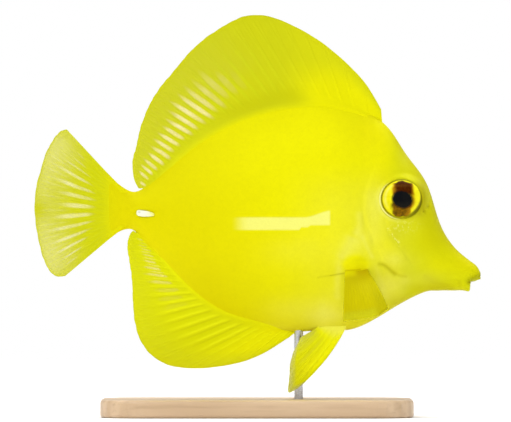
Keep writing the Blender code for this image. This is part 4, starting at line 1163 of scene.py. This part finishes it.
caudalFin = {
    "finish": "caudal",
    # ray, root level, tip place, tip level
    "guides": (
        (0, 6.3, -51.2, 21.7), (1, 5.3, -53.1, 21.2), (2.5, 3.95, -55.1, 18.7), (3.5, 3.2, -56.1, 16.9),
        (4.5, 2.5, -57.4, 14.0), (5.5, 1.8, -58.5, 10.2), (6.5, 1.0, -59.45, 6.4), (7.5, 0.2, -59.9, 2.3),
        (8.5, -0.6, -59.85, -2.4), (9.5, -1.4, -59.25, -6.4), (10.5, -2.1, -58.5, -10.1),
        (11.5, -2.7, -57.4, -13.5), (12.5, -3.3, -56.3, -15.8), (13.5, -4.0, -55.0, -17.4),
        (14.3, -4.85, -53.6, -18.0), (15, -5.4, -51.6, -17.75),
    ),
    "lenses": (
        (1.5, 0.6, 0.73, 0.45, 0.14), (2.5, 0.52, 0.74, 0.55, 0.14), (3.5, 0.43, 0.81, 0.75, 0.16),
        (4.5, 0.37, 0.88, 0.95, 0.18), (5.5, 0.34, 0.86, 1.0, 0.21), (6.5, 0.32, 0.78, 1.0, 0.24),
        (7.5, 0.32, 0.77, 1.0, 0.25), (8.5, 0.33, 0.82, 1.0, 0.24), (9.5, 0.33, 0.91, 0.95, 0.2),
        (10.5, 0.37, 0.89, 1.0, 0.18), (11.5, 0.43, 0.89, 0.95, 0.17), (12.5, 0.54, 0.85, 0.8, 0.14),
        (13.5, 0.65, 0.84, 0.7, 0.13),
    ),
    "rays": 16, "spines": 0, "perRay": 24, "rows": 60, "wave": 0.7,
    "fork": 0.24, "forkFrom": 0.32, "joints": 34, "jointDepth": 0.05, "lensStart": 0.3,
    "rayWidth": 0.34, "rayHeight": 0.12, "membrane": 0.34, "rootShare": 0.1, "sheath": 0.12,
    "rootThickness": 1.5, "sink": 2.2, "scallop": 0.1,
}


def makeCaudalFin():
    # tail fin: a fan of forking rays from the tail's root
    fin = caudalFin
    number, (rootZ, tipX, tipZ), v = layOut(fin)
    root = np.stack([np.full_like(number, lineX[0]), 0 * rootZ, rootZ * 0.96], 1)
    tip = np.stack([tipX, 0 * tipX, tipZ], 1)
    middle, _ = spread(fin, number, root, tip, v)
    middle[:, :, 1] = fin["wave"] * np.sin(2 * math.pi * number / number[-1])[:, None] * v**2
    lines, rows, ray = finMaps(fin, number, middle, v)
    outer = np.abs(2 * lines / number[-1] - 1)
    window = paleLenses(lines, rows, fin)
    # thin pale streaks inside the forks, and a comb of them near the margin
    inFork = smoothStep(rows, 0.62, 0.72) * fadeOut(rows, 0.84, 0.97)
    inFork = inFork * bell(lines - np.round(lines), 0, 0.07)
    comb = 0.5 + 0.5 * np.cos(2 * math.pi * 4 * lines)
    comb = comb * bell(rows, 0.9, 0.045) * fadeOut(outer, 0.35, 0.7)
    window = np.clip(window + (0.22 * inFork + 0.14 * comb) * fadeOut(outer, 0.55, 0.85), 0, 1)
    x, z = middle[..., 0], middle[..., 2]
    spot = bell(x, -58.6, 2.2) * bell(z, 0.2, 2.4)
    clear = smoothStep(rows, 0.45, 0.95) * (0.58 + 0.32 * smoothStep(outer, 0.0, 0.55)) * (1 - 0.12 * ray)
    clear = clear * (1 - 0.45 * smoothStep(outer, 0.7, 0.95)) * (1 - 0.5 * smoothStep(rows, 0.965, 1.0))
    clear = clear * (1 - 0.7 * spot) * (1 - 0.5 * bell(outer, 1.0, 0.1) * fadeOut(rows, 0.6, 0.9))
    tone = smoothStep(x, -43.5, -36.5)
    rim = 0.25 * smoothStep(rows, 0.985, 1.0) + 0.25 * spot
    ray = ray * (1 - 0.8 * smoothStep(rows, 0.45, 0.8))
    softRay = ray * smoothStep(rows, 0.2, 0.4)
    masks = {"ray": softRay, "window": window, "tone": tone, "clear": clear, "rim": rim}
    return finShell("caudalFinFine", middle, rows, ray, fin, masks, "caudal_fin")


pairedFins = {
    "pectoral": {
        "finish": "pectoral",
        # ray, root place, root level, tip place, tip distance from the middle plane, tip level
        "guides": (
            (0, 30.0, -16.8, 35.1, 24.0, -26.2), (4.5, 27.9, -17.2, 32.2, 21.6, -28.4),
            (9.3, 25.7, -17.5, 27.4, 16.0, -29.6), (14, 23.5, -17.9, 22.9, 11.0, -30.2),
        ),
        "rays": 15, "spines": 1, "perRay": 14, "rows": 40, "bow": 1.3,
        "fork": 0.22, "forkFrom": 0.45, "joints": 26,
        "rayWidth": 0.3, "rayHeight": 0.12, "membrane": 0.18, "rootShare": 0.06, "sheath": 0.1,
        "rootThickness": 1.7, "sink": 1.2, "scallop": 0.1, "thinEdge": 0.7,
    },
    "pelvic": {
        "finish": "pelvic",
        # ray, root place, root distance from the middle plane, tip place, tip distance, tip level
        "guides": (
            (0, 23.6, 1.7, 12.6, 5.0, -46.6), (0.9, 22.1, 1.7, 8.6, 5.4, -49.2),
            (1.94, 20.6, 1.7, 8.5, 5.2, -46.0), (2.99, 19.1, 1.7, 8.8, 4.9, -42.0),
            (3.89, 17.8, 1.7, 9.8, 4.4, -38.2), (5, 16.2, 1.7, 11.7, 3.6, -34.3),
        ),
        "rays": 6, "spines": 1, "perRay": 26, "rows": 44, "bow": 0.5, "sweep": 1.15,
        "fork": 0.26, "forkFrom": 0.25, "joints": 26,
        "rayWidth": 0.42, "rayHeight": 0.36, "membrane": 0.32, "rootShare": 0.05, "sheath": 0.07,
        "rootThickness": 1.3, "sink": 1.2, "scallop": 0.12,
    },
}


def bowOut(v, amount, direction):
    # rays that bow stand off their chords by 4v(1-v) of the amount
    return amount[:, None, None] * (4 * v * (1 - v))[None, :, None] * np.array(direction, float)


def makePectoralFin(word, side):
    # a fan swept down and out from the flank, bowed outward
    fin = pairedFins["pectoral"]
    number, (rootX, rootZ, tipX, tipY, tipZ), v = layOut(fin)
    root = np.stack([rootX, side * flankAt(rootX, rootZ), rootZ], 1)
    tip = np.stack([tipX, side * tipY, tipZ], 1)
    middle, _ = spread(fin, number, root, tip, v)
    middle = middle + bowOut(v, fin["bow"] + 0 * number, (0, 0.7 * side, 0.7))
    lines, rows, ray = finMaps(fin, number, middle, v)
    off = np.abs(np.abs(lines - np.round(lines)) - 0.5)
    window = 0.09 * bell(off, 0, 0.3) * smoothStep(rows, 0.2, 0.4) * fadeOut(rows, 0.7, 0.9)
    window = np.maximum(window, fadeOut(rows, 0.07, 0.19) * smoothStep(lines, 5.5, 9.5))
    # painted shadow: brown at the root
    tone = np.exp(-np.clip(rows - 0.1, 0, None) / 0.1) * (1 - smoothStep(lines, 4.0, 12.0) * 0.6)
    fromEdge = np.minimum(lines, fin["rays"] - 1 - lines)
    edge = fadeOut(fromEdge, 0.0, 0.5)
    clear = np.maximum(smoothStep(rows, 0.8, 0.9) * smoothStep(lines, 2.0, 6.0), edge)
    # painted shade: darker along the leading rays and out towards their tips
    outward = 0.75 * smoothStep(rows, 0.2, 0.8) * fadeOut(lines, 1.5, 6.0)
    leadingShade = np.maximum(0.5 * fadeOut(lines, 0.0, 2.0), outward)
    rim = leadingShade * (1 - edge)
    fade = np.maximum(fadeOut(fromEdge, 0.02, 0.3), 0.92 * smoothStep(rows, 0.965, 1.0))
    masks = {"ray": ray * 0.5, "window": window, "tone": tone, "clear": clear, "rim": rim, "fade": fade}
    return finShell(f"pectoralFinFine_{word}", middle, rows, ray, fin, masks, f"pectoral_fin_{word}")


def ridgeLevel(x, y):
    # level of the belly's surface at a distance y from the middle plane
    share = np.sqrt(1 - np.clip(np.abs(y) / halfWidthAt(x), 0, 1) ** (2 / bodyShape["bellyPower"]))
    level = levelAt(x)
    return level + (bellyAt(x) - level) * share


def makePelvicFin(word, side):
    # one spine and five forked rays, swept back under the breast
    fin = pairedFins["pelvic"]
    number, (rootX, rootY, tipX, tipY, tipZ), v = layOut(fin)
    root = np.stack([rootX, side * rootY, ridgeLevel(rootX, rootY)], 1)
    tip = np.stack([tipX, side * tipY, tipZ], 1)
    middle, _ = spread(fin, number, root, tip, v)
    middle = middle + bowOut(v, fin["bow"] + 0 * number, (0, side, 0))
    middle = middle + bowOut(v, fin["sweep"] * (1 - number / number[-1]), (1, 0, 0))
    lines, rows, ray = finMaps(fin, number, middle, v)
    off = np.abs(np.abs(lines - np.round(lines)) - 0.5)
    rear = smoothStep(lines, 1.0, 3.0)
    window = 0.5 * bell(off, 0, 0.2) * rear * smoothStep(rows, 0.2, 0.4) * fadeOut(rows, 0.7, 0.9)
    tone = 1 - 0.75 * np.maximum(smoothStep(rows, 0.55, 0.9), rear * smoothStep(rows, 0.15, 0.4))
    clear = 0.6 * smoothStep(lines, 3.2, 5.0) * smoothStep(rows, 0.2, 0.5)
    clear = np.maximum(clear, 0.9 * smoothStep(rows, 0.86, 0.97))
    rim = 0.35 * fadeOut(lines, 0.0, 0.5) * smoothStep(rows, 0.15, 0.5)
    pale = 0.75 * fadeOut(rows, 0.08, 0.24)
    masks = {"ray": 0.8 * ray, "window": window, "tone": tone, "clear": clear, "rim": rim, "pale": pale}
    return finShell(f"pelvicFinFine_{word}", middle, rows, ray, fin, masks, f"pelvic_fin_{word}")


makeMedianFin("dorsal")
makeMedianFin("anal")
makeCaudalFin()
for word, side in (("right", -1), ("left", 1)):
    makePectoralFin(word, side)
    makePelvicFin(word, side)
print("fins made")


# Eyes and tail blades

irisPaint = {
    "pupilWide": 2.7,
    "pupilHigh": 2.18,
    "pupilTurn": -16.0,
    "pupilAlong": -0.26,  # middle of the pupil from the eye's own axis, along and up
    "pupilUp": -0.28,
    "pupilPower": 2.1,  # 2 is an oval, and more is squarer
    "ringRadius": 5.4,
    # dark block: middle, half width, from and full at this level, and how far out it reaches
    "above": (0.2, 2.84, 1.5, 2.1, 5.25),
    "below": (-0.46, 2.6, 1.6, 2.1, 5.55),
    "rings": 72,
    "spokes": 128,
}


def turned(points, side):
    # the eye's own frame (right along, out, up) to the fish's: tipped by pitch, then turned by yaw
    yaw, pitch = math.radians(eyeShape["yaw"]), math.radians(eyeShape["pitch"])
    x, out, z = points[..., 0], points[..., 1], points[..., 2]
    out, z = out * math.cos(pitch) - z * math.sin(pitch), z * math.cos(pitch) + out * math.sin(pitch)
    x, out = x * math.cos(yaw) + out * math.sin(yaw), out * math.cos(yaw) - x * math.sin(yaw)
    centre = eyeShape["planeY"] - eyeShape["sunk"]
    return np.stack([eyeShape["x"] + x, side * (centre + out), eyeLevel + z], -1)


def makeEye(word, side):
    # a lens-shaped ball turned about its axis: out = half depth * sqrt(1 - r^2), with the cornea a little
    # proud of it
    polar = np.linspace(0, math.pi, irisPaint["rings"] + 1)[:, None]
    spoke = np.linspace(0, 2 * math.pi, irisPaint["spokes"], endpoint=False)[None, :]
    radius = eyeShape["radius"] * np.sin(polar)
    cornea = 0.22 * fadeOut(radius, 2.4, 4.6) * (polar < math.pi / 2)
    out = eyeShape["halfDepth"] * np.cos(polar) + cornea
    x, z = radius * np.cos(spoke), radius * np.sin(spoke)
    points = turned(np.stack([x, out + 0 * x, z], -1), side)
    tilt = math.radians(irisPaint["pupilTurn"])
    px, pz = x - irisPaint["pupilAlong"], z - irisPaint["pupilUp"]
    px, pz = px * math.cos(tilt) + pz * math.sin(tilt), pz * math.cos(tilt) - px * math.sin(tilt)
    power = irisPaint["pupilPower"]
    pupilAway = np.abs(px / irisPaint["pupilWide"]) ** power + np.abs(pz / irisPaint["pupilHigh"]) ** power
    pupilAway = pupilAway ** (1 / power)
    away = np.hypot(x, z * eyeShape["squash"])
    lines = latticeNoise(np.cos(spoke) * 9 + 0 * x, np.sin(spoke) * 9 + away * 0.3, 0.8, 41)
    grains = latticeNoise(x, z, 0.8, 43)
    wobble = 0.3 * latticeNoise(x, z, 0.9, 42)
    blocks = {}
    for key, up in (("above", 1), ("below", -1)):
        middle, half, low, high, limit = irisPaint[key]
        across = np.abs(x - middle) - wobble - 0.25 * fadeOut(up * z, 1.6, 4.2)
        ends = smoothStep(up * z, low - 1.2, high - 0.6) * fadeOut(away - wobble, limit - 0.4, limit)
        blocks[key] = fadeOut(across, half - 0.55, half + 0.3) * ends
    toSide = (x - irisPaint["above"][0]) / irisPaint["above"][1]
    turn = np.arctan2(z, x)
    offTurn = np.angle(np.exp(1j * (turn - math.radians(-33))))
    # painted shadow of the socket on the eyeball's lower front
    socketShadow = np.exp(-((offTurn / math.radians(48)) ** 2))
    reach = 0.05 + 0.8 * socketShadow
    ember = np.where(z > 0, smoothStep(np.abs(toSide), 0.62, 1.05) + 0.07 * bell(z, 3.4, 0.35),
                     0.05 + 0.95 * smoothStep(x - 0.3 * z, 1.2, 3.2))
    # flame-like glow round the lower front of the pupil
    glow = bell(pupilAway, 1.18, 0.15) * smoothStep(x, 0.3, 1.8) * (0.75 + 0.25 * smoothStep(-z, -1.0, 1.5))
    soft = 0.1 + 0.25 * socketShadow
    inner = irisPaint["ringRadius"] - reach
    # painted shade round the eyeball's edge, heavier at the lower front and along the top
    ring = 0.6 + 0.35 * socketShadow + 0.22 * smoothStep(z, 3.4, 4.7)
    # streaks in the iris, with painted light: lighter on the side towards the snout and darker on the side
    # towards the tail
    streaksAndSideLight = 0.35 * lines + 0.35 * grains + 0.8 * smoothStep(x, 2.0, 4.2) - 0.5 * smoothStep(-x, 2.0, 4.0)
    masks = {
        "pupil": fadeOut(pupilAway, 0.96, 1.03),
        "halo": 0.9 * bell(pupilAway, 1.03, 0.06 + 0.05 * smoothStep(x, 0.5, 2.0)),
        "bandAbove": np.clip(blocks["above"], 0, 1),
        "bandBelow": np.clip(blocks["below"], 0, 1) * 0.96,
        "ember": np.clip(ember + 0.22 * grains * ember, 0, 1),
        "glow": np.clip(0.85 * glow * (1 + 0.3 * grains), 0, 1),
        "dull": smoothStep(away, 4.3, 5.2),
        "ring": ring * smoothStep(away, inner - soft, inner + soft),
        # a painted highlight on the iris's side towards the tail
        "outer": 0.45 * bell(away, 4.75, 0.32) * smoothStep(-np.cos(turn + math.radians(12)), 0.62, 0.98),
        "streaksAndSideLight": streaksAndSideLight,
    }
    values = {key: ballValues(value) for key, value in masks.items()}
    faces = ballFaces(*x.shape, side > 0)
    piece = meshPiece(f"eyeball_{word}", toWorld(ballValues(points)), faces, values, eyeFinish)
    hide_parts(f"eye_{word}")
    return piece


bladeShape = {
    "halfLength": 2.45,
    "halfHeight": 0.88,
    "halfThickness": 0.5,
    "yaw": 9.0,
    "proud": 0.12,
    "droop": 0.26,  # how far the front end hangs below the middle
    "rings": 48,
    "spokes": 40,
}


def makeBlade(word, side):
    # a folded lancet: its half height is h * (1 - |t|^p)^(1/p), blunt behind and narrower in front
    t = np.linspace(-1, 1, bladeShape["rings"] + 1)[:, None]
    spoke = np.linspace(0, 2 * math.pi, bladeShape["spokes"], endpoint=False)[None, :]
    power = np.where(t < 0, 3.6, 2.6)
    taper = (1 - np.abs(t) ** power) ** (1 / power) * (1 - 0.28 * smoothStep(t, -0.6, 1.0))
    x = t * bladeShape["halfLength"] + 0 * spoke
    z = bladeShape["halfHeight"] * taper * np.sin(spoke) - bladeShape["droop"] * t
    out = bladeShape["halfThickness"] * taper * np.sign(np.cos(spoke)) * np.abs(np.cos(spoke)) ** 1.4
    yaw = math.radians(bladeShape["yaw"])
    surface = float(halfWidthAt(bladeSeat["x"])) + bladeShape["proud"]
    across = surface + out * math.cos(yaw) + x * math.sin(yaw)
    along = bladeSeat["x"] + x * math.cos(yaw) - out * math.sin(yaw)
    points = np.stack([along, side * across, bladeSeat["z"] + z], -1)
    hinge = 0.8 * bell(t, -0.66, 0.16) * bell(np.sin(spoke), 0.35, 0.3)
    # painted shade: a grey line along the blade's top, standing for the shade of a groove, carried in the
    # hinge mask
    grooveShade = 0.7 * smoothStep(-t, -0.15, 0.1) * bell(np.sin(spoke), 0.97, 0.12)
    marks = {"hinge": np.clip(hinge + grooveShade, 0, 1), "edge": smoothStep(t, 0.1, 0.9) + 0 * x}
    values = {key: ballValues(value) for key, value in marks.items()}
    faces = ballFaces(*x.shape, side < 0)
    piece = meshPiece(f"tailBlade_{word}", toWorld(ballValues(points)), faces, values, bladeFinish)
    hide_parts(f"tail_spine_{word}")
    return piece


for word, side in (("right", -1), ("left", 1)):
    makeEye(word, side)
    makeBlade(word, side)
print("eyes and blades made")


# The stand keeps its solids, with new finishes

for node, material in (("stand_base", woodMaterial()), ("stand_rod", steelMaterial())):
    solid = bpy.data.objects[node]
    if not solid.material_slots:
        solid.data.materials.append(material)
    for slot in solid.material_slots:
        slot.material = material


# Stage, lights and camera

stage = {
    "floorRadius": 1.45,
    "cardHalfWidth": 2.4,
    "cardBehind": 1.5,
    "cardTop": 2.6,
    "white": (0.93, 0.93, 0.93),
    "floorFade": (0.45, 1.1),
    "cardGrey": (0.45, 0.45, 0.45),
    "worldLight": 0.435,
    "worldSeen": 1.0,  # the plain white that the camera sees past the floor
}


def stagePiece(name, points, faces, material, seen):
    # a staged sheet, which the camera may look through
    mesh = bpy.data.meshes.new(name)
    mesh.from_pydata(points, [], faces)
    mesh.materials.append(material)
    piece = bpy.data.objects.new(name, mesh)
    piece.visible_camera = seen
    bpy.context.scene.collection.objects.link(piece)


def makeStage():
    # a round floor, each ring a circle, and an upright grey card behind it that throws light back
    spokes = 96
    turn = np.linspace(0, 2 * math.pi, spokes, endpoint=False)[None, :]
    radius = np.array([0.05, 0.4, stage["floorRadius"]])[:, None]
    rings = np.stack([radius * np.cos(turn), radius * np.sin(turn), 0 * radius * turn], -1).reshape(-1, 3)
    j = np.arange(spokes)
    fan = np.stack([j, (j + 1) % spokes, np.full(spokes, len(rings))], 1)
    floorFaces = gridFaces(3, spokes, closed=True)
    paper = stageMaterial("paperWhite", stage["white"], stage["floorFade"])
    stagePiece("floor", rings.tolist() + [(0, 0, 0)], floorFaces.tolist() + fan.tolist(), paper, True)
    wide, behind, top = stage["cardHalfWidth"], stage["cardBehind"], stage["cardTop"]
    card = [(-wide, behind, 0), (wide, behind, 0), (wide, behind, top), (-wide, behind, top)]
    stagePiece("bounceCard", card, [(0, 1, 2, 3)], stageMaterial("cardGrey", stage["cardGrey"]), False)


makeStage()

lights = {
    # place, aim, width, height, watts
    "key": ((-0.6, -0.85, 0.75), (0.0, 0.0, 0.06), 0.9, 0.9, 6.0),
    "fill": ((0.75, -0.95, 0.25), (0.0, 0.0, 0.05), 0.9, 0.9, 0.7),
    "topLight": ((0.0, 0.06, 1.1), (0.0, 0.0, 0.05), 1.2, 1.2, 5.2),
    "backWash": ((0.0, 0.35, 1.3), (0.0, 1.4, 0.3), 2.2, 0.8, 30.0),
}


def aim(thing, place, target):
    # turn so that the thing's -Z points at the target
    line = np.array(target, float) - np.array(place, float)
    thing.location = place
    lift = math.atan2(math.hypot(line[0], line[1]), -line[2])
    thing.rotation_euler = (lift, 0, math.atan2(-line[0], line[1]))


for name, (place, target, width, height, watts) in lights.items():
    lamp = bpy.data.lights.new(name, "AREA")
    lamp.shape = "RECTANGLE"
    lamp.size, lamp.size_y = width, height
    lamp.energy = watts
    holder = bpy.data.objects.new(name, lamp)
    aim(holder, place, target)
    bpy.context.scene.collection.objects.link(holder)

world = bpy.data.worlds.new("studio")
world.use_nodes = True
background = world.node_tree.nodes["Background"]
background.inputs["Color"].default_value = (1, 1, 1, 1)
path = world.node_tree.nodes.new("ShaderNodeLightPath")
glowing = world.node_tree.nodes.new("ShaderNodeMapRange")
glowing.inputs["To Min"].default_value = stage["worldLight"]
glowing.inputs["To Max"].default_value = stage["worldSeen"]
world.node_tree.links.new(path.outputs["Is Camera Ray"], glowing.inputs["Value"])
world.node_tree.links.new(glowing.outputs["Result"], background.inputs["Strength"])
bpy.context.scene.world = world

view = {
    "imageWide": 511,
    "imageHigh": 422,
    "middlePixelX": 257.0,  # the model's middle, in the picture
    "axisPixelY": 210.0,  # the body axis, in the picture
    "mmPerPixel": 0.26906,
    "lens": 700.0,
    "sensor": 36.0,
}
frameWide = view["imageWide"] * view["mmPerPixel"] * mm
distance = frameWide * view["lens"] / view["sensor"]
aimX = (view["imageWide"] / 2 - view["middlePixelX"]) * view["mmPerPixel"] * mm
aimZ = axisHeight * mm + (view["axisPixelY"] - view["imageHigh"] / 2) * view["mmPerPixel"] * mm
cameraData = bpy.data.cameras.new("camera")
cameraData.lens = view["lens"]
cameraData.sensor_width = view["sensor"]
cameraData.clip_start = 0.01
cameraData.clip_end = 20.0
camera = bpy.data.objects.new("camera", cameraData)
aim(camera, (aimX, -distance, aimZ), (aimX, 0.0, aimZ))
bpy.context.scene.collection.objects.link(camera)
bpy.context.scene.camera = camera
bpy.context.scene.view_settings.view_transform = "Standard"
bpy.context.scene.view_settings.look = "None"
print("stage, lights and camera made")
